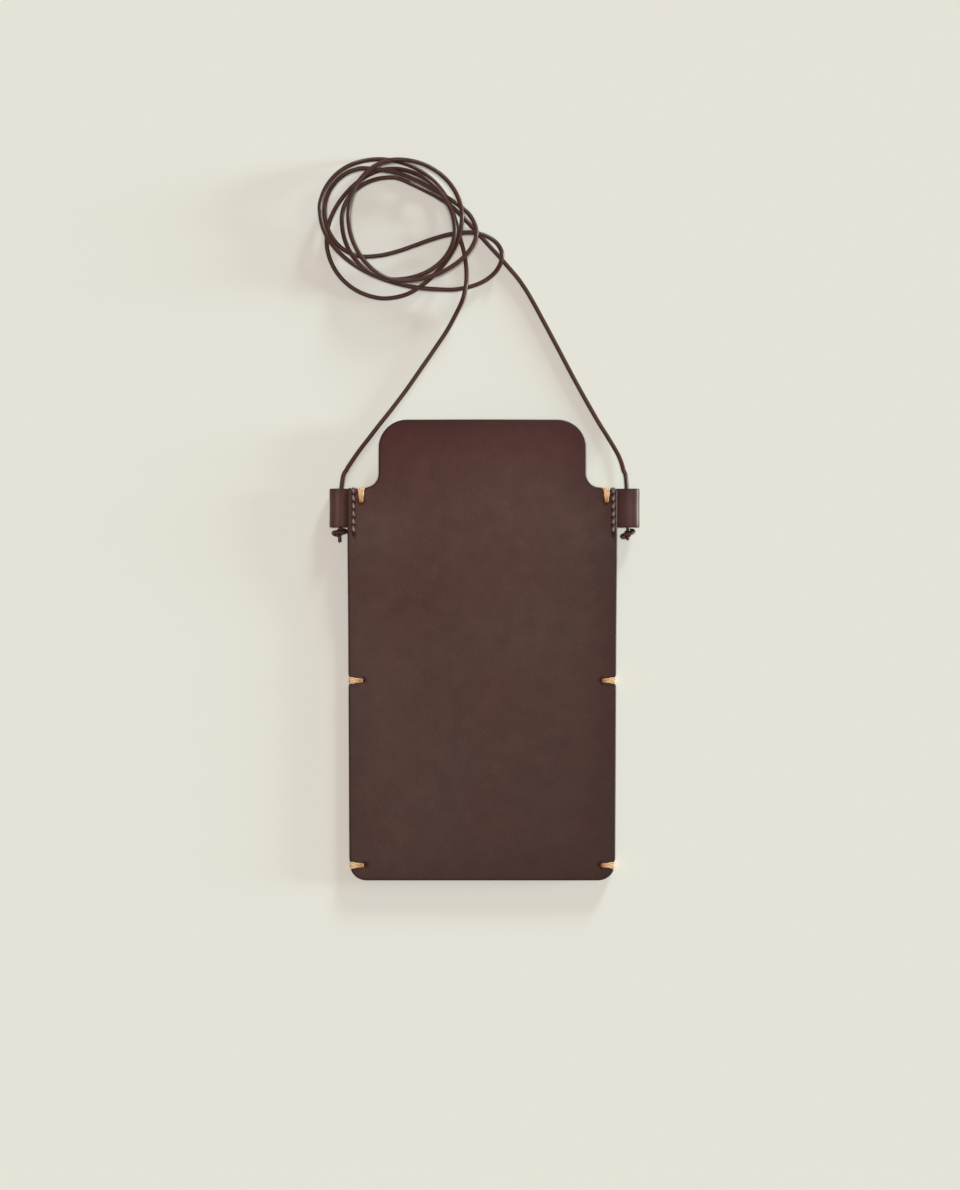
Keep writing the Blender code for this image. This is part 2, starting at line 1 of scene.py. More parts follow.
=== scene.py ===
# %% [markdown]
# # A leather phone case on a coiled neck cord
#
# The case is two panels of dyed leather, cemented along three edges and tied together at six
# places. The front panel runs on past the mouth as a wide pull tab, and a round leather cord goes
# through a sewn loop at each shoulder and is knotted under it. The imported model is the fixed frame
# here: it has every piece at its real size and place, in metres, with X across the case, +Y
# towards the tab and the rear face on the table at Z = 0. This script gives each piece its fine
# shape and its finish, and takes its sizes from the frame wherever it can.

# %% Load the frame
import math
from collections import namedtuple

import bmesh
import bpy
import numpy as np
from mathutils import Matrix, Vector, noise


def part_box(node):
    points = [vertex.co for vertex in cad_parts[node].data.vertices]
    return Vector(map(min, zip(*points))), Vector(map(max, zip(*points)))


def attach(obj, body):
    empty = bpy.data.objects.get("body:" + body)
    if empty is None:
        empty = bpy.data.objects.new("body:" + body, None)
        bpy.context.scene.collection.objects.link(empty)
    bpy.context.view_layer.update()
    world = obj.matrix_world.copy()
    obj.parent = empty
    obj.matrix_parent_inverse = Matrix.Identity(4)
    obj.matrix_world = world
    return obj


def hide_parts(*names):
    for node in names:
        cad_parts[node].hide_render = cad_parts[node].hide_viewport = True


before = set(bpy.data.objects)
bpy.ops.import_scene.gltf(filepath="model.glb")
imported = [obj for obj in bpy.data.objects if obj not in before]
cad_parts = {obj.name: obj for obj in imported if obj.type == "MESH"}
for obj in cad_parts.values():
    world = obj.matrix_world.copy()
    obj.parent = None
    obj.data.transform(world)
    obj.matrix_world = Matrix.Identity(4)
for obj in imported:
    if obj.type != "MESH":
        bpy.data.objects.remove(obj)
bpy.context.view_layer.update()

MM = 0.001

# %% [markdown]
# ## The camera
#
# The photograph looks straight down, from far enough away that nothing leans. A camera with a
# long lens, 1.2 m over the table, does the same. Its field is set in real length: a lens as long
# as the sensor times the height over the field's own length.

# %% Camera
VIEW_MIDDLE = (-0.9 * MM, 21.6 * MM)  # the place on the table in the middle of the picture
VIEW_LENGTH = 466.5 * MM              # the picture's long side, on the table
CAMERA_HEIGHT = 1.2

bpy.ops.object.camera_add(location=(*VIEW_MIDDLE, CAMERA_HEIGHT))
camera = bpy.context.object
camera.data.lens = camera.data.sensor_width * CAMERA_HEIGHT / VIEW_LENGTH
bpy.context.scene.camera = camera
print("lens in mm:", round(camera.data.lens, 1))

# %% [markdown]
# ## The two sides
#
# Nothing that is sewn by hand is quite the same on both sides. The right loop stands out further
# than the left one and lies flatter, the stitch rows are not equally far in, and each knot is
# turned its own way. One small record for each side keeps these together.

# %% What differs from side to side
Side = namedtuple("Side", "name sign stitch_inset tie_from_row cord_from_side "
                          "knot_below_loop knot_turn knot_tail")
SIDES = (
    Side(name="left", sign=-1, stitch_inset=2.4 * MM, tie_from_row=3.0 * MM,
         cord_from_side=3.1 * MM, knot_below_loop=1.9 * MM, knot_turn=26.0, knot_tail=1.9 * MM),
    Side(name="right", sign=1, stitch_inset=1.6 * MM, tie_from_row=2.6 * MM,
         cord_from_side=4.2 * MM, knot_below_loop=2.5 * MM, knot_turn=8.0, knot_tail=0.4 * MM),
)
front_low, front_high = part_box("front_panel")
loop_low, loop_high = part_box("right_loop")  # both loops are level with each other
SIDE_X = front_high.x  # half the width at the mouth
LOOP_Y = (loop_low.y + loop_high.y) / 2
CORD_Z = (loop_low.z + loop_high.z) / 2


def cord_x(side):
    """Where the cord goes through the loop."""
    return side.sign * (SIDE_X + side.cord_from_side)


def stitch_x(side):
    """The middle of the stitch row."""
    return side.sign * (SIDE_X - side.stitch_inset)


# %% [markdown]
# ## The cord's route
#
# The strap is one length of round leather cord. It is knotted under the left loop, goes up
# through it, runs over the table into an uneven coil of five turns, and comes back down through
# the right loop to a second knot. A cord keeps its length whatever shape it lies in, so the route
# is made first and the tube is drawn along it. The two free legs follow listed points.
# The coil is quarter turns between the places where the cord reaches furthest right, up, left or
# down, each with a height over the table, so that every strand goes over or under the next one.

# %% The cord's own sizes, and the route of its legs
CORD = 1.7 * MM
CORD_LIFT = 0.05 * MM  # of a strand that lies on the table
LEFT_LEG = (           # x, y and height over the table, in mm, loop to coil
    (-54.6, 67.2, 2.25), (-53.1, 70.6, 2.10), (-51.6, 73.1, 1.50), (-49.4, 76.4, 0.80),
    (-47.1, 79.6, 0.25), (-44.2, 83.3, 0.0), (-40.1, 88.6, 0.0), (-35.7, 94.1, 0.0),
    (-29.8, 101.9, 0.0), (-24.3, 109.8, 0.0), (-18.9, 117.6, 0.0), (-13.7, 125.4, 0.3),
    (-10.3, 131.6, 1.4), (-7.7, 137.0, 3.30), (-6.4, 142.6, 3.60), (-6.2, 147.9, 1.70),
    (-6.6, 152.5, 0.15), (-7.4, 156.8, 0.0), (-8.5, 160.7, 0.0), (-9.4, 164.0, 0.0),
)
RIGHT_LEG = (          # the same, coil to loop
    (-32.3, 184.6, 0.0), (-26.8, 182.2, 0.0), (-22.1, 179.9, 0.0), (-17.8, 177.6, 0.8),
    (-13.1, 174.4, 2.25), (-8.9, 170.7, 2.10), (-5.1, 166.9, 0.2), (-1.7, 163.3, 0.0),
    (2.2, 159.0, 0.0), (6.7, 154.1, 0.0), (10.7, 149.5, 0.0), (14.8, 144.5, 0.0),
    (19.4, 137.2, 0.0), (27.9, 121.5, 0.0), (36.2, 105.8, 0.0), (44.5, 91.0, 0.0),
    (49.3, 83.2, 0.2), (52.8, 77.2, 0.9), (54.4, 73.4, 1.70), (55.2, 70.4, 2.20),
    (56.2, 67.2, 2.25),
)


def on_table(x, y, lift):
    """Middle of the cord at a place in mm, with its height over the table."""
    return Vector((x * MM, y * MM, CORD / 2 + CORD_LIFT + lift * MM))


# %% The coil, quarter turn by quarter turn
COIL_START_SHARE = 0.115  # the first quarter starts this far round
POINTS_A_QUARTER = 6
COIL_REACHES = (          # side, x, y, how flat the quarter is, its two heights, in mm
    ("right", -9.7, 161.5, 0.00, 0.0, 0.0), ("top", -40.1, 192.3, 0.00, 0.0, 0.0),
    ("left", -63.4, 171.8, 0.00, 3.9, 4.9), ("bottom", -14.2, 141.0, 0.00, 2.0, 2.2),
    ("right", 7.7, 154.4, 0.00, 0.0, 2.4), ("top", -5.6, 163.4, 0.00, 2.3, 2.3),
    ("bottom", -45.6, 154.0, 0.00, 1.4, 1.4), ("left", -61.7, 171.7, 0.00, 1.5, 3.1),
    ("top", -45.6, 188.5, 0.00, 2.1, 2.1), ("right", -2.3, 163.5, 0.10, 3.4, 4.5),
    ("bottom", -31.5, 144.0, 0.03, 4.5, 6.4), ("left", -52.3, 169.3, 0.02, 6.4, 4.3),
    ("top", -33.0, 191.6, 0.00, 4.3, 4.3), ("right", -7.9, 168.6, 0.00, 5.2, 6.2),
    ("bottom", -37.4, 137.8, 0.06, 0.0, 0.0), ("left", -61.0, 160.7, 0.00, 0.0, 0.0),
    ("top", -35.4, 188.6, 0.04, 0.0, 0.0), ("right", -10.7, 163.9, 0.03, 5.6, 6.3),
    ("bottom", -34.2, 144.8, 0.00, 4.2, 4.2), ("left", -55.0, 168.6, 0.00, 4.2, 1.1),
    ("top", -35.8, 185.2, 0.00, 1.3, 0.0),
)


def eased(share):
    """0 to 1 with a level start and end."""
    return (1 - np.cos(math.pi * np.clip(share, 0, 1))) / 2


def quarter(before, after, share):
    """x and y part of the way from one reach of the coil to the next."""
    (from_side, x0, y0), (to_side, x1, y1, flat) = before[:3], after[:4]
    upright = ("left", "right")
    if from_side not in upright and to_side not in upright:
        return x0 + (x1 - x0) * share, y0 + (y1 - y0) * eased(share)
    angle = share * math.pi / 2
    pull = 1 - flat * math.sin(2 * angle) ** 2
    if from_side in upright:
        return x1 - (x1 - x0) * math.cos(angle) * pull, y0 + (y1 - y0) * math.sin(angle) * pull
    return x0 + (x1 - x0) * math.sin(angle) * pull, y1 - (y1 - y0) * math.cos(angle) * pull


def coil_line():
    """The quarters one after another; each climbs in its first half, then in its second."""
    line = []
    start = COIL_START_SHARE
    for before, after in zip(COIL_REACHES, COIL_REACHES[1:]):
        for part in (step / POINTS_A_QUARTER for step in range(POINTS_A_QUARTER)):
            x, y = quarter(before, after, start + (1 - start) * part)
            first_climb = (after[4] - before[5]) * eased(part * 2)
            second_climb = (after[5] - after[4]) * eased(part * 2 - 1)
            line.append(on_table(x, y, before[5] + first_climb + second_climb))
        start = 0.0
    last = COIL_REACHES[-1]
    return line + [on_table(last[1], last[2], last[5])]


# %% [markdown]
# ## The knots
#
# Each end of the cord is tied in an overhand knot, drawn up tight against the loop so that it
# can't slip through. Half of the knot is ten points: from the band across its front, round the
# back and out at the top. The other half is the same turned half round, which is what makes an
# overhand knot. The leather is drawn a little thinner where it is knotted.

# %% The knot's line, and one smooth line for the whole cord
KNOT_SIZE = 1.7 * MM             # scale of the knot's points
KNOT_CORD = 1.3 * MM             # the cord's thickness where it is drawn tight
IN_LOOP = (0.1, 0.25, 0.5, 1.0)  # places in the straight run up to the loop's middle
KNOT_HALF = (
    (0.0, 0.0, 0.62), (-0.62, -0.22, 0.52), (-1.14, -0.52, 0.12), (-1.30, -0.80, -0.42),
    (-0.88, -0.98, -0.92), (-0.10, -0.74, -1.10), (0.50, -0.06, -0.58), (0.12, 0.66, -0.08),
)
KNOT_EXIT = ((0.0, 1.22, 0.04), (0.0, 1.48, 0.02))
LINE_PARTS = 12                  # points of the smooth line for each point of the route
LINE_STEP = CORD / 5             # between the points that the tube is drawn through


def knot_line(side):
    """From the knot's loose end, round the knot, to where the cord enters the loop."""
    turn = Matrix.Rotation(math.radians(-side.knot_turn), 3, "Z")
    up = [turn @ Vector(place) for place in KNOT_HALF] + [Vector(place) for place in KNOT_EXIT]
    down = [Vector((-p.x, -p.y, p.z)) for p in reversed(up[1:])]
    down[0] = down[1] + Vector((0, -side.knot_tail / KNOT_SIZE, 0))
    centre = Vector((cord_x(side), loop_low.y - side.knot_below_loop, CORD_Z))
    return [centre + p * KNOT_SIZE for p in down + up]


def knot_and_loop(side):
    """The knot, and straight up from it to the loop's middle."""
    knot = knot_line(side)
    start = knot[-1].y
    return knot + [Vector((cord_x(side), start + (LOOP_Y - start) * share, CORD_Z))
                   for share in IN_LOOP]


def smooth_line(points, parts):
    """Many points on one smooth curve through the given ones."""
    ends = [points[0] * 2 - points[1]] + points + [points[-1] * 2 - points[-2]]
    line = []
    for a, b, c, d in zip(ends, ends[1:], ends[2:], ends[3:]):
        for t in (i / parts for i in range(parts)):
            line.append((b * 2 + (c - a) * t + (a * 2 - b * 5 + c * 4 - d) * t ** 2
                         + (b * 3 - a - c * 3 + d) * t ** 3) / 2)
    return line + [points[-1]]


def evenly(line, step):
    """Points at an even step along a finely drawn line."""
    at = np.concatenate([[0.0], np.cumsum([(b - a).length for a, b in zip(line, line[1:])])])
    wanted = np.linspace(0, at[-1], max(2, round(at[-1] / step)) + 1)
    columns = [np.interp(wanted, at, [p[axis] for p in line]) for axis in range(3)]
    return [Vector(place) for place in zip(*columns)]


def length(line):
    return sum((b - a).length for a, b in zip(line, line[1:]))


from_left, from_right = [knot_and_loop(side) for side in SIDES]
way_up = from_left + [on_table(*place) for place in LEFT_LEG]
way_down = [on_table(*place) for place in RIGHT_LEG] + from_right[::-1]
cord_line = evenly(smooth_line(way_up + coil_line() + way_down, LINE_PARTS), LINE_STEP)
for place in cord_line:
    place.z = max(place.z, CORD / 2 + CORD_LIFT)
print("cord from end to end, mm:", round(length(cord_line) / MM))

# %% [markdown]
# ## The cord itself
#
# A curve with a round bevel draws a tube along a line, and the radius can be set at each point.
# That gives the thinner cord in the knots and the slightly rounded cut ends in one unbroken tube.
# It is made a mesh afterwards, because the pale cut ends are marked on its points, and the mesh
# keeps the curve's UV map, which runs along the cord for the finish to follow.

# %% Helpers: selecting, editing, and numbers on the points of a mesh
SHARP = math.radians(50)  # an edge that turns by more than this counts as sharp
SAME_PLACE = 1e-7


def select_none():
    """Leaves edit mode and deselects everything."""
    if bpy.context.mode != "OBJECT":
        bpy.ops.object.mode_set(mode="OBJECT")
    bpy.ops.object.select_all(action="DESELECT")


def alone(obj):
    """Selects and activates one object and no other."""
    select_none()
    obj.select_set(True)
    bpy.context.view_layer.objects.active = obj


def face_outwards(obj):
    """Merges the doubled points of a mesh and turns all its faces outwards."""
    alone(obj)
    bpy.ops.object.mode_set(mode="EDIT")
    bpy.ops.mesh.select_all(action="SELECT")
    bpy.ops.mesh.remove_doubles(threshold=SAME_PLACE)
    bpy.ops.mesh.normals_make_consistent(inside=False)
    bpy.ops.object.mode_set(mode="OBJECT")


def mark(obj, name, values):
    """Keeps one number for each point of a mesh, for a material to read."""
    attribute = obj.data.attributes.new(name, "FLOAT", "POINT")
    attribute.data.foreach_set("value", np.asarray(values, np.float32))


def marked(obj, name):
    values = np.zeros(len(obj.data.vertices), np.float32)
    obj.data.attributes[name].data.foreach_get("value", values)
    return values


def places(obj):
    """The points of a mesh, as one row of x, y and z each."""
    flat = np.zeros(len(obj.data.vertices) * 3, np.float32)
    obj.data.vertices.foreach_get("co", flat)
    return flat.reshape(-1, 3).astype(float)


def move_to(obj, rows):
    obj.data.vertices.foreach_set("co", np.asarray(rows, np.float32).ravel())
    obj.data.update()


def tube(name, lines, diameter, roundness, radii=None):
    """Closed tubes along one or more lines, as one mesh with a UV map along each."""
    curve = bpy.data.curves.new(name, "CURVE")
    curve.dimensions = "3D"
    curve.bevel_depth = diameter / 2
    curve.bevel_resolution = roundness
    curve.use_fill_caps = True
    for line in lines:
        spline = curve.splines.new("POLY")
        spline.points.add(len(line) - 1)
        for index, (point, place) in enumerate(zip(spline.points, line)):
            point.co = (*place, 1)
            point.radius = radii[index] if radii else 1.0
    obj = bpy.data.objects.new(name, curve)
    bpy.context.scene.collection.objects.link(obj)
    alone(obj)
    bpy.ops.object.convert(target="MESH")
    face_outwards(obj)
    bpy.ops.object.shade_smooth_by_angle(angle=SHARP)
    return obj


# %% Draw the cord
CUT_ROUND = 0.28 * MM  # rounding of a cut end
NARROWEST = 0.45       # share of the thickness left at the very end
KNOT_DRAW = 3.0 * MM   # over which the cord narrows into the knot
CUT_REACH = 0.6 * NARROWEST * KNOT_CORD  # a cut face's own points are nearer than this

left_knot_length, right_knot_length = [length(smooth_line(knot_line(side), parts=4)) for side in SIDES]
from_start = np.linspace(0, length(cord_line), len(cord_line))
to_end = from_start[::-1]
past_knot = np.minimum(from_start - left_knot_length, to_end - right_knot_length)
thin = KNOT_CORD / CORD
cut = np.clip(np.minimum(from_start, to_end) / CUT_ROUND, 0, 1)
radii = ((thin + (1 - thin) * eased(past_knot / KNOT_DRAW))
         * (NARROWEST + (1 - NARROWEST) * np.sqrt(1 - (1 - cut) ** 2)))

cord = tube("neck_cord", [cord_line], CORD, roundness=6, radii=[float(radius) for radius in radii])
ends = np.array([cord_line[0], cord_line[-1]])
nearest = np.min(np.linalg.norm(places(cord)[:, None, :] - ends[None, :, :], axis=2), axis=1)
mark(cord, "cut_end", nearest < CUT_REACH)
print("cord faces:", len(cord.data.polygons), "UV maps:", [uv.name for uv in cord.data.uv_layers])

# %% [markdown]
# ## The panels
#
# Each panel is one sheet of leather, 1.8 mm thick, with edges that were rounded and burnished.
# A box with bevels would do for a flat sheet, but the front panel bows out for the phone and
# rises over the loops that are sewn in under its sides. So each panel starts flat: a plane is
# given its outline, inset a few times close to the edge, sliced both ways, and given its
# thickness by Solidify. Then one pass moves every point: it rounds the edges, puts the bow in,
# narrows the case towards its foot, and presses the leather where thread and ties pull on it.

# %% Sizes of the panels, from the frame
rear_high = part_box("rear_panel")[1]
Y_FOOT, Y_TOP = front_low.y, front_high.y
Y_MOUTH = rear_high.y
LEATHER = rear_high.z
GLUE_LINE = front_low.z - LEATHER
SHOULDER = 12.2 * MM       # side edge to the tab's side
TAB_WIDTH = 2 * (SIDE_X - SHOULDER)
FOOT_NARROWER = 0.75 * MM  # on each side
FOOT_CORNER = 6.8 * MM
MOUTH_CORNER = 1.5 * MM
TAB_FILLET = 5.3 * MM
TAB_CORNER = 11.0 * MM
EDGE_ROUND = 0.62 * MM     # radius of the burnished edge
EDGE_RINGS = 5             # insets that the rounding is bent over
NEAR = 0.01 * MM
print("panel, mm:", round(2 * SIDE_X / MM, 1), "x", round((Y_TOP - Y_FOOT) / MM, 1))


# %% Helpers: pick by place, add a plane, draw out, slice and round corners
def pick(kind, test):
    """In edit mode, selects only the VERT or EDGE items whose middle passes a test."""
    bpy.ops.mesh.select_mode(type=kind)
    bpy.ops.mesh.select_all(action="DESELECT")
    mesh = bpy.context.edit_object.data
    built = bmesh.from_edit_mesh(mesh)
    for item in built.verts if kind == "VERT" else built.edges:
        corners = [item] if kind == "VERT" else item.verts
        item.select_set(test(sum((v.co for v in corners), Vector()) / len(corners)))
    built.select_flush_mode()
    bmesh.update_edit_mesh(mesh)


def plane(name, x_low, x_high, y_low, y_high):
    """A flat rectangle, open for editing."""
    select_none()
    bpy.ops.mesh.primitive_plane_add(size=1, location=((x_low + x_high) / 2, (y_low + y_high) / 2, 0))
    obj = bpy.context.object
    obj.name = obj.data.name = name
    obj.scale = (x_high - x_low, y_high - y_low, 1)
    bpy.ops.object.transform_apply(location=True, rotation=True, scale=True)
    bpy.ops.object.mode_set(mode="EDIT")
    return obj


def extrude(x, y, z):
    """Draws out what is selected, in edit mode."""
    bpy.ops.mesh.extrude_region_move(TRANSFORM_OT_translate={"value": (x, y, z)})


def slice_up(cuts, normal):
    """Cuts the faces along planes that all face the same way."""
    for at in cuts:
        bpy.ops.mesh.select_all(action="SELECT")
        bpy.ops.mesh.bisect(plane_co=normal * at, plane_no=normal)


def round_corner(x, y, radius, steps):
    """Rounds the two corners of the outline at a place and at its mirror image."""
    pick("VERT", lambda at: abs(abs(at.x) - x) < NEAR and abs(at.y - y) < NEAR)
    bpy.ops.mesh.bevel(offset_type="OFFSET", offset=radius, segments=steps, profile=0.5,
                       affect="VERTICES", clamp_overlap=False)


# %% The flat outline of a panel
def flat_panel(name, with_tab):
    """One face with the panel's outline; with_tab is for the front panel."""
    panel = plane(name, -SIDE_X, SIDE_X, Y_FOOT, Y_MOUTH)
    round_corner(SIDE_X, Y_FOOT, FOOT_CORNER, steps=12)
    if with_tab:
        slice_up([-TAB_WIDTH / 2, TAB_WIDTH / 2], Vector((1, 0, 0)))
        pick("EDGE", lambda at: abs(at.x) < TAB_WIDTH / 4 and abs(at.y - Y_MOUTH) < NEAR)
        extrude(0, Y_TOP - Y_MOUTH, 0)
        bpy.ops.mesh.select_all(action="SELECT")
        bpy.ops.mesh.dissolve_limited(angle_limit=math.radians(1))
        round_corner(TAB_WIDTH / 2, Y_MOUTH, TAB_FILLET, steps=10)
        round_corner(TAB_WIDTH / 2, Y_TOP, TAB_CORNER, steps=16)
    round_corner(SIDE_X, Y_MOUTH, MOUTH_CORNER, steps=5)
    return panel


def outline_of(panel):
    """The outline's points in order, as x and y."""
    built = bmesh.from_edit_mesh(panel.data)
    built.faces.ensure_lookup_table()
    return np.array([v.co[:2] for v in built.faces[0].verts])


def inset_rings(depths):
    """Insets the one face, ring after ring, to the given depths from its edge."""
    bpy.ops.mesh.select_mode(type="FACE")
    bpy.ops.mesh.select_all(action="SELECT")
    for before, after in zip((0.0, *depths), depths):
        bpy.ops.mesh.inset(thickness=after - before, depth=0, use_even_offset=True,
                           use_individual=True)


# %% [markdown]
# The slices lie close together only where the surface has something small in it: the stitch rows
# and ties at the sides, and the ends of the loops. Everywhere else they are 2.5 mm apart, which is
# plenty for a sheet that bends gently.

# %% Slices, close together where there is detail
COARSE = 2.5 * MM
FINE = 0.3 * MM
STITCH_FROM_MOUTH = 2.8 * MM     # mouth edge to the first slit
STITCH_PITCH = 3.0 * MM
STITCH_COUNT = 5                 # after the one that wraps the mouth edge
SIDE_DETAIL = SIDE_X - 7.5 * MM  # further out than this the slices are close
TIE_DETAIL = 2.3 * MM            # and this far to each side of a tie
stitch_ys = [Y_MOUTH - STITCH_FROM_MOUTH - STITCH_PITCH * i for i in range(STITCH_COUNT + 1)]
SIDE_TIE_Y, FOOT_TIE_Y = [(low.y + high.y) / 2
                          for low, high in (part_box("right_side_tie"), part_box("right_foot_tie"))]


def slices(low, high, fine_spans, keep_off):
    """Places from low to high: close together inside the fine spans, and none in a gap."""
    found = []
    at = low
    while at < high:
        if not any(a < at < b for a, b in keep_off):
            found.append(at)
        at += FINE if any(a <= at < b for a, b in fine_spans) else COARSE
        for a, _ in fine_spans:
            if found and found[-1] < a < at:
                at = a
    return found


edge_band = EDGE_ROUND + FINE / 2
side_band = (SIDE_X - edge_band, SIDE_X + 1)
tab_band = (TAB_WIDTH / 2 - edge_band, TAB_WIDTH / 2 + FINE / 2)
half_xs = slices(COARSE / 2, SIDE_X, [(SIDE_DETAIL, SIDE_X)], [side_band, tab_band])
slice_xs = [-x for x in reversed(half_xs)] + half_xs
slice_ys = slices(
    Y_FOOT + edge_band + COARSE / 2, Y_TOP - edge_band,
    [(FOOT_TIE_Y - TIE_DETAIL, FOOT_TIE_Y + TIE_DETAIL),
     (SIDE_TIE_Y - TIE_DETAIL, SIDE_TIE_Y + TIE_DETAIL),
     (loop_low.y - TIE_DETAIL, Y_MOUTH)],
    [(Y_MOUTH - edge_band, Y_MOUTH + FINE)])
print("slices across:", len(slice_ys), "along:", len(slice_xs))

# %% [markdown]
# ### What presses into the leather
#
# Waxed thread drawn tight sinks into a leather face, and each awl hole pulls the face down round
# it. Both are heights added to the flat sheet. The dents are smooth bumps of the form
# exp(-distance squared), which meet the flat face without an edge. Where a strand goes over an
# edge, the edge is drawn in under it by the strand's own thickness, so that it lies flush.

# %% Ties and stitches as the panels feel them
TIE_FLAT = 0.62 * MM                 # height of a tie's flattened strand
TIE_SPAN = 1.45 * MM                 # from a tie's middle to its side, at the edge of the case
MOUTH_TIE_HOLE_INSET = 5.9 * MM
TIE_HOLE_INSET = 5.5 * MM
TIE_DENT = (0.9 * MM, 0.75 * MM)     # of a tie's hole: its size across the tie and along it
THREAD_FLAT = 0.6 * MM
THREAD_WIDE = 1.0 * MM
STITCH_DENT = (0.6 * MM, 0.42 * MM)  # the same for a stitch's hole
STITCH_GROOVE = 0.8 * MM             # width of the groove that a stitch row lies in
NOTCH = 0.66 * MM                    # how far an edge is drawn in under a strand
NOTCH_FADE = 2.5 * MM
NOTCH_WIDER = 1.2                    # than the strand, because stiff leather can't bend sharply
LOOP_LIFT = 2.3 * MM                 # how far the loops' tails lift the front panel's sides
Tie = namedtuple("Tie", "name x y way reach")  # its hole, and from there to the edge


def side_x(y):
    """Half the case's width at a height along it."""
    return SIDE_X - FOOT_NARROWER * np.clip((Y_MOUTH - y) / (Y_MOUTH - Y_FOOT), 0, 1)


def tie_list():
    """The six ties: at the mouth, on the side and at the foot, on both sides."""
    found = []
    for side in SIDES:
        found.append(Tie(f"{side.name}_mouth_tie", stitch_x(side) - side.sign * side.tie_from_row,
                         Y_MOUTH - MOUTH_TIE_HOLE_INSET, (0, 1), MOUTH_TIE_HOLE_INSET))
        for name, y in (("side_tie", SIDE_TIE_Y), ("foot_tie", FOOT_TIE_Y)):
            hole_x = side.sign * (float(side_x(y)) - TIE_HOLE_INSET)
            found.append(Tie(f"{side.name}_{name}", hole_x, y, (side.sign, 0), TIE_HOLE_INSET))
    return found


def from_hole(tie, x, y):
    """Places as a tie has them: out towards its edge, and across."""
    return ((x - tie.x) * tie.way[0] + (y - tie.y) * tie.way[1],
            (x - tie.x) * tie.way[1] + (y - tie.y) * tie.way[0])


def dent(across, along, size):
    """A smooth dent, 1 in its middle."""
    return np.exp(-(across / size[0]) ** 2 - (along / size[1]) ** 2)


def presses(x, y):
    """Dents at the stitch holes, grooves of the rows, dents at the tie holes, seats of the ties."""
    stitch_holes, grooves, tie_holes, seats = np.zeros((4, len(x)))
    for side in SIDES:
        across = x - stitch_x(side)
        stitch_holes += sum(dent(across, y - at, STITCH_DENT) for at in stitch_ys)
        in_row = np.clip((y - stitch_ys[-1]) / THREAD_WIDE, 0, 1)
        grooves += np.exp(-(across / STITCH_GROOVE) ** 2) * in_row
    for tie in tie_list():
        out, across = from_hole(tie, x, y)
        tie_holes += dent(across, out, TIE_DENT)
        along = np.clip(1 + out / TIE_SPAN, 0, 1)
        seats += np.exp(-(across / TIE_SPAN) ** 4) * along * (out < tie.reach + TIE_SPAN)
    return stitch_holes, grooves, tie_holes, seats


def drawn_in(x, y):
    """Places after the edges are drawn in under the ties and the first stitches."""
    wraps = [(tie, TIE_SPAN) for tie in tie_list()]
    for side in SIDES:
        first = Tie(side.name, stitch_x(side), stitch_ys[0], (0, 1), STITCH_FROM_MOUTH)
        wraps.append((first, THREAD_WIDE))
    moved_x, moved_y = x.copy(), y.copy()
    for tie, span in wraps:
        out, across = from_hole(tie, x, y)
        near = np.clip(1 - np.abs(tie.reach - out) / NOTCH_FADE, 0, 1)
        depth = NOTCH * np.exp(-(across / (NOTCH_WIDER * span)) ** 4) * near
        moved_x -= tie.way[0] * depth
        moved_y -= tie.way[1] * depth
    return moved_x, moved_y


# %% [markdown]
# ### The front panel's bow
#
# Carrying a phone leaves a shape in the leather: the panel stands out most at the mouth, goes
# down to nothing at the foot, and the tab settles a little. Its sides rise over the loops' tails.
# The hand that cut and dyed it leaves it slightly uneven too, which a low, wide noise gives.

# %% Heights of the panels
SIDE_SEAM = 7.0 * MM     # the cemented width along each side
FOOT_SEAM = 8.0 * MM
POCKET_RISE = 2.5 * MM   # of the middle over the sides, at the mouth
POCKET_SWELL = 2.5       # power of the rise: more keeps the foot flat for longer
POCKET_CROWN = 2.0       # power across: more draws the bow in to the middle
TAIL_RAMP = 42.0 * MM    # the sides begin to rise this far below the loops
TAIL_MARGIN = 2.8 * MM   # and are fully up this far below them
TAB_SETTLE = 0.10        # share of the rise that the tab's end loses
UNEVEN = 0.10 * MM       # of a wide, low unevenness
UNEVEN_SIZE = 34 * MM
UNEVEN_START = 0.3       # of a seam's width in from the side, where it begins
UNEVEN_SEED = 1.5
FRONT_PRESSES = (0.50 * MM, 0.10 * MM, 0.65 * MM, 0.16 * MM)  # depths, in the order of presses
REAR_DEEPER = 0.12 * MM  # than the strand, so that the case lies on its leather
REAR_HOLE = 0.4 * MM     # deeper still round a hole


def front_underside(x, y):
    """Height of the front panel's inner face over the table."""
    at_sides = LOOP_LIFT * eased((y - loop_low.y + TAIL_RAMP) / (TAIL_RAMP - TAIL_MARGIN))
    foot = Y_FOOT + FOOT_SEAM
    rise = np.clip((y - foot) / (Y_MOUTH - foot), 0, 1) ** POCKET_SWELL
    between = (LOOP_LIFT + POCKET_RISE) * np.sin(math.pi / 2 * rise)
    middle = np.maximum(0, 1 - (x / (SIDE_X - SIDE_SEAM)) ** 2) ** POCKET_CROWN
    settled = 1 - TAB_SETTLE * eased((y - Y_MOUTH) / (Y_TOP - Y_MOUTH))
    return LEATHER + GLUE_LINE + (at_sides * (1 - middle) + between * middle) * settled


def unevenness(x, y):
    """Low and wide, and nothing at the seams, where the two panels are held together."""
    values = np.array([noise.noise(Vector((a / UNEVEN_SIZE, b / UNEVEN_SIZE, UNEVEN_SEED)))
                       for a, b in zip(x, y)])
    return UNEVEN * values * np.clip((SIDE_X - np.abs(x)) / SIDE_SEAM - UNEVEN_START, 0, 1)


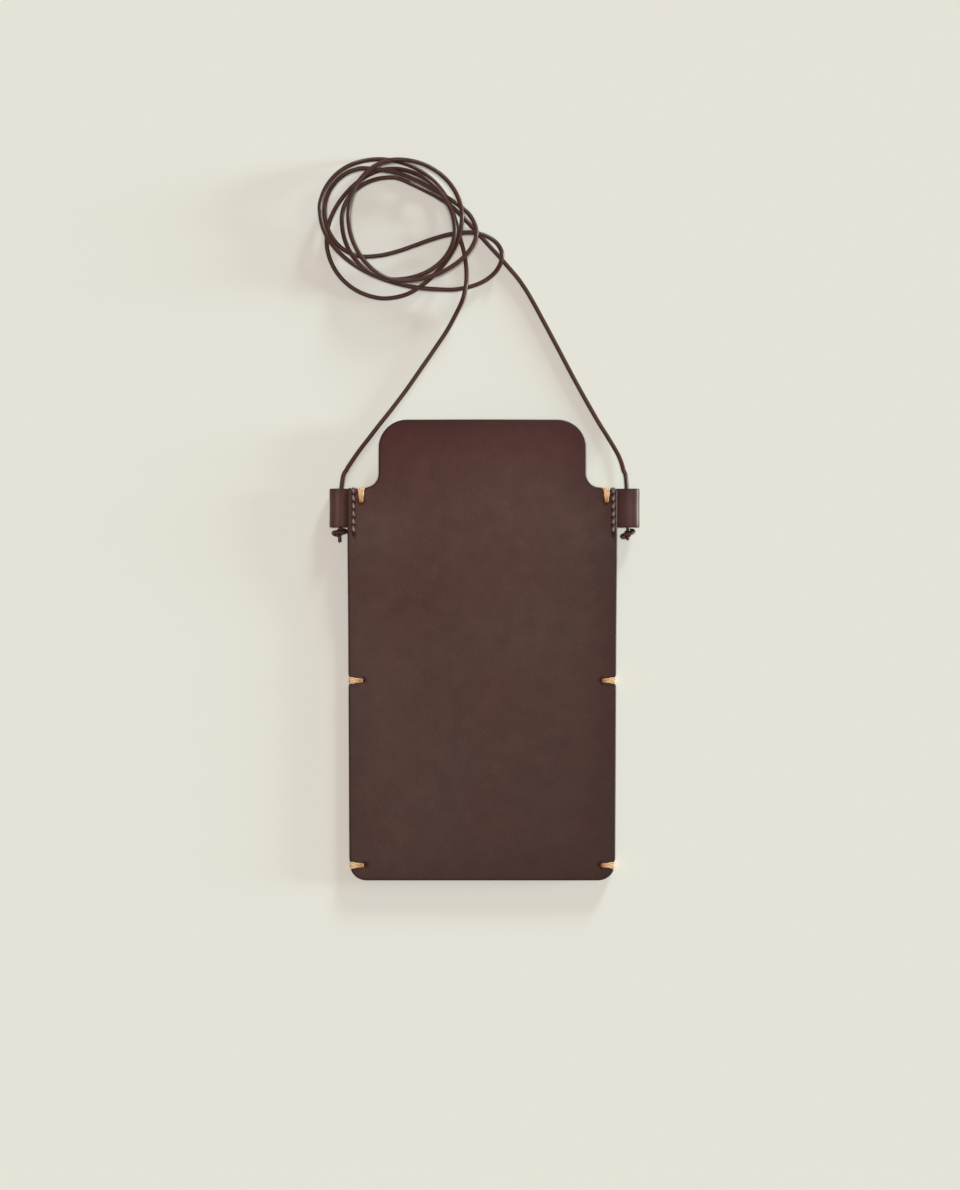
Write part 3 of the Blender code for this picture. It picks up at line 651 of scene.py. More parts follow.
def front_height(x, y, top, rounding, pressed):
    """The bowed inner face, and the outer face over it with the dents pressed in."""
    sunk = sum(depth * share for depth, share in zip(FRONT_PRESSES, pressed))
    return (front_underside(x, y) + unevenness(x, y)
            + np.where(top, LEATHER - rounding - sunk, rounding))


def rear_height(x, y, top, rounding, pressed):
    """Flat, with seats in its rear face for the stitching and the ties."""
    stitch_holes, grooves, tie_holes, seats = pressed
    seat = np.maximum(grooves * THREAD_FLAT, seats * TIE_FLAT) + REAR_DEEPER
    hole = REAR_HOLE * np.clip(stitch_holes + tie_holes, 0, 1)
    sunk = (seat + hole) * np.clip(grooves + seats, 0, 1)
    return np.where(top, LEATHER - rounding, np.maximum(rounding, sunk))


# %% Give a flat panel its thickness and its shape
TIE_HOLE_SHADE = 0.5  # share of the painted hole shade at a tie's hole, which the tie fills


def distance_to(outline, x, y):
    """Shortest way from each point to the outline."""
    least = np.full(len(x), np.inf)
    for start, end in zip(outline, np.roll(outline, -1, axis=0)):
        way = end - start
        along = np.clip(((x - start[0]) * way[0] + (y - start[1]) * way[1]) / (way @ way), 0, 1)
        least = np.minimum(least, np.hypot(x - start[0] - along * way[0],
                                           y - start[1] - along * way[1]))
    return least


def apply_modifier(obj, kind, **settings):
    """Adds a modifier with its settings, and applies it."""
    alone(obj)
    bpy.ops.object.modifier_add(type=kind)
    modifier = obj.modifiers[-1]
    for name, value in settings.items():
        setattr(modifier, name, value)
    bpy.ops.object.modifier_apply(modifier=modifier.name)


def finish_panel(panel, outline, face_height):
    """Solidify, then move every point: face_height gives z from x, y, top, rounding, presses."""
    apply_modifier(panel, "SOLIDIFY", thickness=LEATHER, offset=1.0)
    x, y, z = places(panel).T
    top = z > LEATHER / 2
    from_edge = distance_to(outline, x, y)
    inward = np.clip(1 - from_edge / EDGE_ROUND, 0, 1)
    rounding = EDGE_ROUND * (1 - np.sqrt(1 - inward ** 2))
    pressed = presses(x, y)
    z = face_height(x, y, top, rounding, pressed)
    x, y = drawn_in(x * side_x(y) / SIDE_X, y)
    move_to(panel, np.stack([x, y, z], axis=1))
    mark(panel, "from_edge", from_edge)
    # Painted shade in the holes, for the material to read.
    mark(panel, "hole", np.clip(pressed[0] + TIE_HOLE_SHADE * pressed[2], 0, 1))
    mark(panel, "outer_face", top == panel.name.startswith("front"))
    bpy.ops.object.shade_smooth()
    print(panel.name, "faces:", len(panel.data.polygons))


# %% Make both panels
ring_depths = [EDGE_ROUND * (1 - math.cos(math.pi / 2 * (i + 1) / EDGE_RINGS))
               for i in range(EDGE_RINGS)]


def leather_panel(name, with_tab, face_height):
    panel = flat_panel(name, with_tab)
    outline = outline_of(panel)
    inset_rings(ring_depths)
    slice_up(slice_xs, Vector((1, 0, 0)))
    slice_up([y for y in slice_ys if with_tab or y < Y_MOUTH], Vector((0, 1, 0)))
    finish_panel(panel, outline, face_height)
    return panel


front = leather_panel("front_leather", True, front_height)
rear = leather_panel("rear_leather", False, rear_height)

# %% [markdown]
# ## The cord loops
#
# Each loop is a strip of thinner leather, folded back on itself, with both ends sewn in between
# the panels. A flattened ring would look the same from above, but not at the sides, where the two
# tails come together. So one edge is drawn out along the fold, step by step, the way a strip is
# bent by hand, and Solidify and Bevel give it its thickness and its softened cut edges.

# %% The line of the fold, and a loop made along it
LOOP_STRIP = 0.9 * MM
LOOP_FOLD_GAP = 0.2 * MM
LOOP_TAIL = 7.4 * MM    # sewn in between the panels
LOOP_STEPS = 26         # round each half of the fold
LOOP_SOFT_EDGE = 0.26 * MM
LOOP_CUTS = 7           # across the loop, for its slight waist
LOOP_WAIST = 0.12 * MM
LOOP_CORNER = 1.0 * MM  # how far the worn corners reach from the loop's ends


def fold_line(reach, height):
    """x and z along the middle of the strip: lower tail, round the fold, upper tail."""
    end_x = SIDE_X + reach - LOOP_STRIP / 2
    tail = (LOOP_STRIP + LOOP_FOLD_GAP) / 2
    turns = [math.pi * i / LOOP_STEPS for i in range(LOOP_STEPS + 1)]
    rises = [math.sin(turn) * math.sin(turn / 2) for turn in turns]
    belly = ((height - LOOP_STRIP) / 2 - tail / 2) / max(rises)
    lower = [(SIDE_X - LOOP_TAIL, -tail), (SIDE_X - LOOP_TAIL / 2, -tail)]
    for turn, rise in zip(turns, rises):
        lower.append((SIDE_X + (end_x - SIDE_X) * (1 - math.cos(turn)) / 2,
                      -tail * math.cos(turn / 2) - belly * rise))
    upper = [(x, -z) for x, z in reversed(lower[:-1])]
    return [(x, CORD_Z + z) for x, z in lower + upper]


def cord_loop(side):
    """A strip drawn out along its fold, thickened, softened and narrowed in its middle."""
    low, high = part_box(f"{side.name}_loop")
    reach = max(abs(low.x), abs(high.x)) - SIDE_X
    line = [(side.sign * x, z) for x, z in fold_line(reach, high.z - low.z)]
    (x0, z0), (x1, _) = line[:2]
    loop = plane(f"{side.name}_cord_loop", min(x0, x1), max(x0, x1), loop_low.y, loop_high.y)
    bpy.ops.transform.translate(value=(0, 0, z0))
    pick("EDGE", lambda at: abs(at.x - x1) < NEAR)
    for (ax, az), (bx, bz) in zip(line[1:], line[2:]):
        extrude(bx - ax, 0, bz - az)
    pick("EDGE", lambda at: abs(at.y - LOOP_Y) < NEAR)
    bpy.ops.mesh.subdivide(number_cuts=LOOP_CUTS)
    apply_modifier(loop, "SOLIDIFY", thickness=LOOP_STRIP, offset=0.0)
    face_outwards(loop)
    apply_modifier(loop, "BEVEL", width=LOOP_SOFT_EDGE, segments=3, limit_method="ANGLE",
                   angle_limit=SHARP)
    x, y, z = places(loop).T
    ends = np.minimum(y - loop_low.y, loop_high.y - y)
    along = np.clip((y - loop_low.y) / (loop_high.y - loop_low.y), 0, 1)
    waist = LOOP_WAIST * np.sin(math.pi * along)
    corner = LOOP_WAIST * np.clip(1 - ends / LOOP_CORNER, 0, 1) ** 2
    past_side = np.clip((np.abs(x) - SIDE_X) / reach, 0, 1)
    x = x - side.sign * (waist * past_side + corner * past_side ** 4)
    z = z - waist * past_side * np.sign(z - CORD_Z)
    move_to(loop, np.stack([x, y, z], axis=1))
    bpy.ops.object.shade_smooth_by_angle(angle=SHARP)
    mark(loop, "from_edge", np.maximum(ends, 0))
    return loop


loops = {side.name: cord_loop(side) for side in SIDES}
print("loop faces:", len(loops["left"].data.polygons))

# %% [markdown]
# ## Thread and ties
#
# Both are waxed thread: three plies twisted round each other and pressed flat where they are
# drawn tight. The loops are sewn with a dark one in a saddle stitch, where the same thread goes
# down the row and back, so that a stitch shows on both faces between any two holes. The six ties
# are a thicker pale one that goes twice through its hole and over the edge, where it spreads out.
# A striped texture would give the twist from afar, but not the knobbly outline, so each ply is a
# tube of its own that winds round the thread's line, further out to the sides than up and down.

# %% Lines with rounded bends, and the plies wound round them
PLIES = 3
PLY_LIFT = 0.05 * MM  # how far a ply rises and sinks as it winds
TWIST_STEP = 0.2 * MM
BEND_STEPS = 4
BEND_SHARE = 0.45     # the most of a run that the bend at its end may take


def bent_line(corners, radius):
    """A line through corners, each inner one turned on a small curve."""
    corners = [Vector(corner) for corner in corners]
    line = corners[:1]
    for before, corner, after in zip(corners, corners[1:], corners[2:]):
        start, end = [corner + (to - corner).normalized()
                      * min(radius, (to - corner).length * BEND_SHARE) for to in (before, after)]
        for share in (i / BEND_STEPS for i in range(BEND_STEPS + 1)):
            line.append(start * (1 - share) ** 2 + corner * 2 * share * (1 - share) + end * share ** 2)
    return line + corners[-1:]


def flat_thread(name, corners, ply, flat, width_at, bend, twist):
    """A plied thread along corners. It is wide along the way flat, by width_at(place)."""
    fine = evenly(bent_line(corners, bend), TWIST_STEP)
    plies = [[] for _ in range(PLIES)]
    for index, place in enumerate(fine):
        before, after = fine[max(0, index - 1)], fine[min(len(fine) - 1, index + 1)]
        along = (after - before).normalized()
        across = (flat - along * flat.dot(along)).normalized()
        upward = along.cross(across)
        wide = (width_at(place) - ply) / 2
        for number, line in enumerate(plies):
            angle = 2 * math.pi * (index * TWIST_STEP / twist + number / PLIES)
            line.append(place + across * math.cos(angle) * wide
                        + upward * math.sin(angle) * PLY_LIFT)
    return tube(name, plies, ply, roundness=2)


# %% The saddle stitch through each loop's tail
THREAD_PLY = 0.46 * MM
THREAD_TWIST = 3.4 * MM             # length of one whole turn of the plies
THREAD_BEND = 0.7 * MM
THREAD_PROUD = THREAD_FLAT / 4      # a strand's middle over the leather that it has sunk into
FIRST_STITCH_WIDE = 1.5 * MM        # the one that wraps the mouth edge
REAR_CLEARANCE = 0.05 * MM
STRAND_SIDE = 0.3 * MM              # two strands share a slit, this far each side of the row
FLAT_TOP = LEATHER * 2 + GLUE_LINE  # the front face over the table, away from the loops
RAISED_TOP = FLAT_TOP + LOOP_LIFT   # and at the loops' tails
EDGE_FLUSH = 0.35 * MM              # a strand's middle to the edge that it goes over
PAINTED_HIGHLIGHT_WIDTH = 0.4 * MM               # of the painted highlight down the row's middle


def stitch_corners(side):
    """Over the mouth edge, down the row and back up it, changing faces at every slit."""
    low = REAR_CLEARANCE + THREAD_FLAT / 2
    high = RAISED_TOP + THREAD_PROUD
    edge = Y_MOUTH - EDGE_FLUSH
    first = stitch_ys[0]
    corners = [(-1, first, (low + high) / 2), (-1, first, high), (0, edge, high), (0, edge, low),
               (1, first, low), (1, first, high)]
    down_and_back = [(y, -1) for y in stitch_ys[1:]] + [(y, 1) for y in stitch_ys[-2:0:-1]]
    here, there = high, low
    for y, slant in down_and_back:
        slant = slant if here == high else -slant
        corners += [(slant, y, here), (slant, y, there)]
        here, there = there, here
    corners.append((-1, first - 2 * THREAD_WIDE, low))
    row_x = stitch_x(side)
    return [(row_x + side.sign * slant * STRAND_SIDE, y, z) for slant, y, z in corners]


def stitch_width(place):
    over_edge = np.clip((place.y - stitch_ys[0]) / THREAD_WIDE, 0, 1)
    return THREAD_WIDE + (FIRST_STITCH_WIDE - THREAD_WIDE) * over_edge


def stitch_row(side):
    row = flat_thread(f"{side.name}_stitch_thread", stitch_corners(side), THREAD_PLY,
                      Vector((1, 0, 0)), stitch_width, THREAD_BEND, THREAD_TWIST)
    x, y, z = places(row).T
    # Painted highlight: paler on the top of each stitch, down the row's middle, between two holes.
    between = np.sin(math.pi * ((stitch_ys[0] - y) / STITCH_PITCH % 1)) ** 3
    in_middle = np.exp(-((x - stitch_x(side)) / PAINTED_HIGHLIGHT_WIDTH) ** 2)
    on_face = np.clip((z - RAISED_TOP + THREAD_PROUD) / THREAD_FLAT, 0, 1)
    upward = np.clip([vert.normal.z for vert in row.data.vertices], 0, 1) ** 3
    mark(row, "lightened", between * in_middle * on_face * upward)
    return row


stitching = {side.name: stitch_row(side) for side in SIDES}
print("stitch faces:", len(stitching["left"].data.polygons))

# %% The six ties
TIE_PLY = 0.56 * MM
TIE_TWIST = 8.0 * MM
TIE_PROUD = TIE_FLAT / 5  # what THREAD_PROUD is for the thread
TIE_NARROW = 0.8 * MM     # a strand's width at the hole
TIE_WIDE = 1.66 * MM      # and at the edge
TIE_PITCH = 0.33 * MM     # from the hole's middle to each strand
TIE_SPREAD = 0.62 * MM    # the same where the strands turn round the edge


def edge_tie(tie):
    """Twice up through the hole, over the edge and back to the hole on the rear face."""
    out, across = Vector((*tie.way, 0)), Vector((-tie.way[1], tie.way[0], 0))
    far = tie.reach - EDGE_FLUSH
    low = REAR_CLEARANCE + TIE_FLAT / 2
    high = (RAISED_TOP if "mouth" in tie.name else FLAT_TOP) + TIE_PROUD
    middle = (low + high) / 2
    corners = (
        (0, TIE_PITCH, middle), (0, TIE_PITCH, high), (far, TIE_SPREAD, high),
        (far, TIE_SPREAD, low), (0, TIE_PITCH, low), (0, -TIE_PITCH, middle),
        (0, -TIE_PITCH, high), (far, -TIE_SPREAD, high), (far, -TIE_SPREAD, low),
        (2 * TIE_SPAN, -TIE_PITCH, low),
    )
    hole = Vector((tie.x, tie.y, 0))

    def out_share(x, y):
        return np.clip(from_hole(tie, x, y)[0] / tie.reach, 0, 1)

    def width(place):
        return TIE_NARROW + (TIE_WIDE - TIE_NARROW) * out_share(place.x, place.y)

    strand = flat_thread(
        f"{tie.name}_strand", [hole + out * u + across * v + Vector((0, 0, z)) for u, v, z in corners],
        TIE_PLY, across, width, TIE_FLAT, TIE_TWIST)
    # Painted shade: each strand is painted darker towards the hole that it goes into.
    mark(strand, "lightened", out_share(*places(strand).T[:2]))
    return strand


ties = {tie.name: edge_tie(tie) for tie in tie_list()}
print("tie faces:", len(ties["left_side_tie"].data.polygons))

# %% [markdown]
# ## Finishes
#
# Every finish is built from nodes and reads the piece's own place in metres, so the grain keeps
# its real size and doesn't move with the view. What several finishes share is a node group with
# named inputs: the fine grain of smooth leather, the slow drift of a hand-applied dye, and the
# burnish of a cut edge. Each material places the groups it needs, with its own values.

# %% Helpers for node trees
FLOAT, VECTOR = "NodeSocketFloat", "NodeSocketVector"


def give(socket, value):
    """Sets a socket to a number or a colour, or joins another node's output to it."""
    if isinstance(value, bpy.types.NodeSocket):
        socket.id_data.links.new(value, socket)
    else:
        socket.default_value = (*value, 1.0) if socket.type == "RGBA" else value


def node(tree, kind, values, **settings):
    """Adds a node, sets its properties, and gives its inputs their values, by name or number."""
    made = tree.nodes.new(kind)
    for name, value in settings.items():
        setattr(made, name, value)
    for name, value in values.items():
        give(made.inputs[name], value)
    return made


def blank_group(name, inputs, outputs):
    """A shader node group: its tree, what comes in, and the sockets that take what goes out."""
    tree = bpy.data.node_groups.new(name, "ShaderNodeTree")
    for label, kind, value in inputs:
        socket = tree.interface.new_socket(label, in_out="INPUT", socket_type=kind)
        if value is not None:
            socket.default_value = value
    for label in outputs:
        tree.interface.new_socket(label, in_out="OUTPUT", socket_type=FLOAT)
    return tree, tree.nodes.new("NodeGroupInput").outputs, tree.nodes.new("NodeGroupOutput").inputs


def maths(tree, operation, *operands, clamped=False):
    """One sum of the node tree; each operand is a number or another node's output."""
    return node(tree, "ShaderNodeMath", dict(enumerate(operands)), operation=operation,
                use_clamp=clamped).outputs[0]


def mixed(tree, mask, first, second, blend="MIX"):
    """Mixes two colours by a mask; each is a colour or another node's output."""
    return node(tree, "ShaderNodeMix", {0: mask, 6: first, 7: second}, data_type="RGBA",
                blend_type=blend).outputs[2]


def spread(tree, value, low, high, to_low=0.0, to_high=1.0):
    """Stretches a span of values to another one, and holds it there."""
    values = {"Value": value, "From Min": low, "From Max": high, "To Min": to_low, "To Max": to_high}
    return node(tree, "ShaderNodeMapRange", values).outputs[0]


def scaled(tree, vector, by):
    return node(tree, "ShaderNodeVectorMath", {0: vector, "Scale": by}, operation="SCALE").outputs[0]


def clouds(tree, place, scale, detail, roughness=0.5, distortion=0.0):
    """Soft noise with so many clouds a metre, as its outputs Fac and Color."""
    values = {"Vector": place, "Scale": scale, "Detail": detail, "Roughness": roughness,
              "Distortion": distortion}
    return node(tree, "ShaderNodeTexNoise", values).outputs


# %% Groups: fine leather grain, slow drift of the dye, burnish along a cut edge
def leather_grain():
    """Small soft cells with fine pores between them, and tiny flecks in the dye."""
    tree, start, end = blank_group(
        "Leather grain",
        [("Place", VECTOR, None), ("Cells per metre", FLOAT, 1800.0), ("Pull", FLOAT, 0.35)],
        ("Height", "Fleck"))
    place, per_metre = start["Place"], start["Cells per metre"]
    wide, fine = [maths(tree, "MULTIPLY", per_metre, share) for share in (0.4, 2.2)]
    wander = clouds(tree, place, wide, detail=2.0, roughness=0.6)["Color"]
    reach = maths(tree, "MULTIPLY", maths(tree, "DIVIDE", start["Pull"], per_metre), 4.0)
    moved = node(tree, "ShaderNodeVectorMath", {0: place, 1: scaled(tree, wander, reach)},
                 operation="ADD").outputs[0]
    cells = node(tree, "ShaderNodeTexVoronoi", {"Vector": moved, "Scale": per_metre},
                 feature="SMOOTH_F1")
    dust = clouds(tree, place, fine, detail=3.0, roughness=0.65)["Fac"]
    domes = maths(tree, "SUBTRACT", 1.0, cells.outputs["Distance"], clamped=True)
    give(end["Height"], maths(tree, "ADD", domes, maths(tree, "MULTIPLY", dust, 0.5)))
    give(end["Fleck"], spread(tree, dust, 0.32, 0.68))
    return tree


def dye_drift():
    """Two wide noises, one broad and one patchy, as masks from 0 to 1."""
    tree, start, end = blank_group(
        "Dye drift", [("Place", VECTOR, None), ("Patches per metre", FLOAT, 30.0)],
        ("Broad", "Patchy"))
    for label, finer, detail in (("Broad", 1.0, 2.0), ("Patchy", 5.0, 4.0)):
        scale = maths(tree, "MULTIPLY", start["Patches per metre"], finer)
        cloud = clouds(tree, start["Place"], scale, detail, roughness=0.55)["Fac"]
        give(end[label], spread(tree, cloud, 0.3, 0.7))
    return tree


def edge_burnish():
    """1 at a cut edge, fading inwards over a width that wanders a little."""
    tree, start, end = blank_group(
        "Edge burnish", [("Place", VECTOR, None), ("From edge", FLOAT, None), ("Width", FLOAT, 0.003)],
        ("Mask",))
    cloud = clouds(tree, start["Place"], scale=220.0, detail=3.0)["Fac"]
    ragged = spread(tree, cloud, 0.2, 0.8, to_low=0.55, to_high=1.45)
    width = maths(tree, "MULTIPLY", start["Width"], ragged)
    share = maths(tree, "DIVIDE", start["From edge"], width, clamped=True)
    falling = maths(tree, "SUBTRACT", 1.0, share, clamped=True)
    give(end["Mask"], maths(tree, "POWER", falling, 1.8))
    return tree


grain_group, drift_group, burnish_group = leather_grain(), dye_drift(), edge_burnish()

# %% [markdown]
# ### Smooth dyed leather
#
# The panels are full-grain leather, dyed dark brown right through, with a dull waxed face: a
# middling roughness, a faint grain that shows more in the highlights than in the colour, and a
# darker, shinier edge. The inner side is the leather's flesh side, rough and paler.


# %% Helpers for materials
def material(name):
    """A new material, its node tree, its shader's inputs and its object coordinates."""
    made = bpy.data.materials.new(name)
    made.use_nodes = True
    tree = made.node_tree
    place = node(tree, "ShaderNodeTexCoord", {}).outputs["Object"]
    return made, tree, tree.nodes["Principled BSDF"].inputs, place


def shared(tree, group, **values):
    """A node group in a material, with the values of its inputs."""
    named = {name.replace("_", " "): value for name, value in values.items()}
    return node(tree, "ShaderNodeGroup", named, node_tree=group).outputs


def attribute(tree, name):
    return node(tree, "ShaderNodeAttribute", {}, attribute_name=name).outputs["Fac"]


def bump(tree, shader, height, depth):
    """Feeds a height of 0 to 1 to the shader's normal, depth metres high."""
    made = node(tree, "ShaderNodeBump", {"Height": height, "Strength": 1.0, "Distance": depth})
    give(shader["Normal"], made.outputs[0])


# %% Leather for the panels and the loops
# Painted shade: near-black in the stitch and tie holes.
HOLE_SHADE_COLOR = (0.006, 0.002, 0.002)
TAB_PAINTED_SHADE = (0.83, 0.55, 0.60)  # painted shade: the tab's end is painted darker and redder, as it shows less sheen
PATCHES = (0.9, 1.1)           # five tones, from one share of the colour to another
FLECKS = (0.74, 1.26)
# Painted light: lighter from the foot to the mouth.
PAINTED_LIGHT_FOOT_TO_MOUTH = (0.86, 1.30)
# Painted shade: darker near the edges, fading out over EDGE_FADE burnished widths.
PAINTED_SHADE_EDGE_TO_MIDDLE = (0.79, 1.0)
# Painted light: lighter on the left, darker on the right.
PAINTED_LIGHT_LEFT_TO_RIGHT = (1.13, 0.87)
EDGE_FADE = 9                  # how many burnished widths the painted shade along an edge takes to fade out
FLECK_DULL = 0.06              # how much a fleck changes the roughness, up and down
BURNISH_SHINE = -0.14          # how much a burnished edge changes it


def dyed_leather(name, grey_brown, red_brown, burnt, sheen, roughness, gloss, cells, edge_width,
                 grain_depth):
    made, tree, shader, place = material(name)
    from_edge = attribute(tree, "from_edge")
    grain = shared(tree, grain_group, Place=place, Cells_per_metre=cells)
    drift = shared(tree, drift_group, Place=place)
    burnish = shared(tree, burnish_group, Place=place, From_edge=from_edge, Width=edge_width)[0]
    x, y, _ = node(tree, "ShaderNodeSeparateXYZ", {0: place}).outputs
    # Random patches and flecks, then painted light and shade: lighter towards the mouth and the left,
    # darker near the edges.
    tone = spread(tree, drift["Patchy"], 0.0, 1.0, *PATCHES)
    for value, low, high, tones in (
            (grain["Fleck"], 0.0, 1.0, FLECKS), (y, Y_FOOT, Y_MOUTH, PAINTED_LIGHT_FOOT_TO_MOUTH),
            (from_edge, 0.0, EDGE_FADE * edge_width, PAINTED_SHADE_EDGE_TO_MIDDLE),
            (x, -SIDE_X, SIDE_X, PAINTED_LIGHT_LEFT_TO_RIGHT)):
        tone = maths(tree, "MULTIPLY", tone, spread(tree, value, low, high, *tones))
    toned = scaled(tree, mixed(tree, drift["Broad"], grey_brown, red_brown), tone)
    # Painted shade on the tab's end: darker and redder.
    tab_painted_shade = mixed(tree, spread(tree, y, Y_MOUTH - SHOULDER, Y_TOP), toned,
                   mixed(tree, 1.0, toned, TAB_PAINTED_SHADE, "MULTIPLY"))
    edged = mixed(tree, burnish, tab_painted_shade, burnt)
    # Painted shade in the holes.
    give(shader["Base Color"], mixed(tree, attribute(tree, "hole"), edged, HOLE_SHADE_COLOR))
    dull = spread(tree, grain["Fleck"], 0.0, 1.0, roughness - FLECK_DULL, roughness + FLECK_DULL)
    shine = maths(tree, "MULTIPLY", burnish, BURNISH_SHINE)
    give(shader["Roughness"], maths(tree, "ADD", dull, shine))
    give(shader["Specular IOR Level"], gloss)
    give(shader["Specular Tint"], sheen)
    bump(tree, shader, grain["Height"], grain_depth)
    return made


panel_leather = dyed_leather(
    "Dyed panel leather", grey_brown=(0.064, 0.034, 0.027), red_brown=(0.066, 0.030, 0.024),
    burnt=(0.031, 0.014, 0.011), sheen=(1.0, 0.76, 0.72), roughness=0.50, gloss=0.30,
    cells=1700.0, edge_width=1.6 * MM, grain_depth=0.035 * MM)
loop_leather = dyed_leather(
    "Dyed loop leather", grey_brown=(0.058, 0.032, 0.024), red_brown=(0.062, 0.027, 0.022),
    burnt=(0.028, 0.009, 0.008), sheen=(1.0, 0.60, 0.60), roughness=0.42, gloss=0.55,
    cells=2300.0, edge_width=0.9 * MM, grain_depth=0.02 * MM)


# %% The flesh side of the panels
NAP_DEEP, NAP_PALE = (0.075, 0.040, 0.030), (0.15, 0.088, 0.066)


def flesh_side():
    """Rough nap: short fibres that lie every way, dyed but never polished."""
    made, tree, shader, place = material("Leather flesh side")
    nap = clouds(tree, place, scale=2600.0, detail=5.0, roughness=0.7)["Fac"]
    tufts = clouds(tree, place, scale=420.0, detail=4.0, distortion=0.6)["Fac"]
    height = maths(tree, "ADD", nap, tufts)
    give(shader["Base Color"], mixed(tree, spread(tree, height, 0.7, 1.3), NAP_DEEP, NAP_PALE))
    give(shader["Roughness"], 0.92)
    bump(tree, shader, height, depth=0.12 * MM)
    return made


flesh_leather = flesh_side()

# %% [markdown]
# ### Round cord, thread and ties
#
# The cord is cut from thicker leather, drawn round and polished, so it is darker and glossier
# than the panels, with fine streaks along it. Its cut ends show the raw, paler leather. The
# threads are waxed: smooth along the ply, with the wax dulled here and there.


# %% Cord and thread
CORD_GROUNDS = (0.039, 0.0085, 0.004), (0.052, 0.0145, 0.008)
CORD_WORN = (0.09, 0.038, 0.028)  # of the paler streaks
CORD_CUT = (0.15, 0.08, 0.05)
THREAD_FIBRES = (8.0, 48.0)       # repeats round a ply, and along its UV map
THREAD_ROUGHNESS = (0.32, 0.50)   # where the wax shines, and where it is dulled


def along_uv(tree, across, along):
    """The piece's own UV map, stretched to so many repeats across and along it."""
    uv = node(tree, "ShaderNodeTexCoord", {}).outputs["UV"]
    return node(tree, "ShaderNodeMapping", {"Vector": uv, "Scale": (along, across, 1.0)}).outputs[0]


def round_cord():
    made, tree, shader, place = material("Polished cord leather")
    grain = shared(tree, grain_group, Place=place, Cells_per_metre=3200.0)
    drift = shared(tree, drift_group, Place=place, Patches_per_metre=70.0)
    uv = along_uv(tree, across=9.0, along=260.0)
    streaks = clouds(tree, uv, scale=1.0, detail=3.0, roughness=0.6)["Fac"]
    streak = spread(tree, streaks, 0.3, 0.7)
    ground = mixed(tree, drift["Broad"], *CORD_GROUNDS)
    lightened = mixed(tree, maths(tree, "MULTIPLY", streak, 0.45), ground, CORD_WORN)
    give(shader["Base Color"], mixed(tree, attribute(tree, "cut_end"), lightened, CORD_CUT))
    give(shader["Roughness"], spread(tree, streaks, 0.2, 0.8, 0.29, 0.40))
    give(shader["Specular IOR Level"], 0.5)
    bump(tree, shader, maths(tree, "ADD", grain["Height"], streak), depth=0.012 * MM)
    return made


def waxed_thread(name, dark, light, coat):
    made, tree, shader, place = material(name)
    uv = along_uv(tree, *THREAD_FIBRES)
    fibre = clouds(tree, uv, scale=1.0, detail=3.0, roughness=0.65)["Fac"]
    drift = shared(tree, drift_group, Place=place, Patches_per_metre=260.0)
    uneven = maths(tree, "MULTIPLY", spread(tree, fibre, 0.3, 0.7, 0.6, 1.0),
                   spread(tree, drift["Broad"], 0.0, 1.0, 0.85, 1.0))
    # The mark read here is painted light: a highlight on top of each stitch, and shade where a tie
    # goes into its hole.
    tone = maths(tree, "MULTIPLY", uneven, spread(tree, attribute(tree, "lightened"), 0.0, 0.6))
    give(shader["Base Color"], mixed(tree, tone, dark, light))
    give(shader["Roughness"], spread(tree, fibre, 0.2, 0.8, *THREAD_ROUGHNESS))
    give(shader["Coat Weight"], coat)
    give(shader["Coat Roughness"], 0.3)
    bump(tree, shader, fibre, depth=0.02 * MM)
    return made


cord_leather = round_cord()
# The dark thread's light colour is its painted highlight.
dark_thread = waxed_thread("Waxed dark thread", (0.045, 0.009, 0.010), (0.52, 0.31, 0.29), coat=0.15)
# The pale thread's dark colour is its painted shade.
pale_thread = waxed_thread("Waxed pale thread", (0.34, 0.12, 0.03), (0.90, 0.60, 0.32), coat=0.4)

# %% [markdown]
# ## Finishes on the pieces, and what each piece stands for
#
# The panels have two finishes, so their faces are sorted by the mark that was left when they were
# shaped. Each piece then moves with its body, and the solids of the frame that it stands for are
# hidden.


# %% Hand out the finishes
def stands_for(piece, finish, body, slot, *nodes):
    """Its finish, the body it moves with, and the solids it stands for, which are hidden. slot is not
    used.
    """
    piece.data.materials.append(finish)
    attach(piece, body)
    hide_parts(*nodes)


for panel, solid in ((front, "front_panel"), (rear, "rear_panel")):
    stands_for(panel, panel_leather, "case", "panel_leather", solid)
    panel.data.materials.append(flesh_leather)
    outside, depth = marked(panel, "outer_face"), marked(panel, "from_edge")
    for face in panel.data.polygons:
        corners = list(face.vertices)
        if max(outside[corners]) < 0.5 and min(depth[corners]) > EDGE_ROUND / 2:
            face.material_index = 1  # the inner face, but not its edges
for side in ("left", "right"):
    stands_for(loops[side], loop_leather, "case", "loop_leather", f"{side}_loop")
    stands_for(stitching[side], dark_thread, "case", "dark_thread", f"{side}_loop_stitching")
for name, strand in ties.items():
    stands_for(strand, pale_thread, "case", "tie_thread", name)

# %% The cord: its finish, its body, and the solids it stands for
stands_for(cord, cord_leather, "strap", "cord_leather", "cord_left_leg", "cord_coil",
           "cord_right_leg", "left_knot", "right_knot")

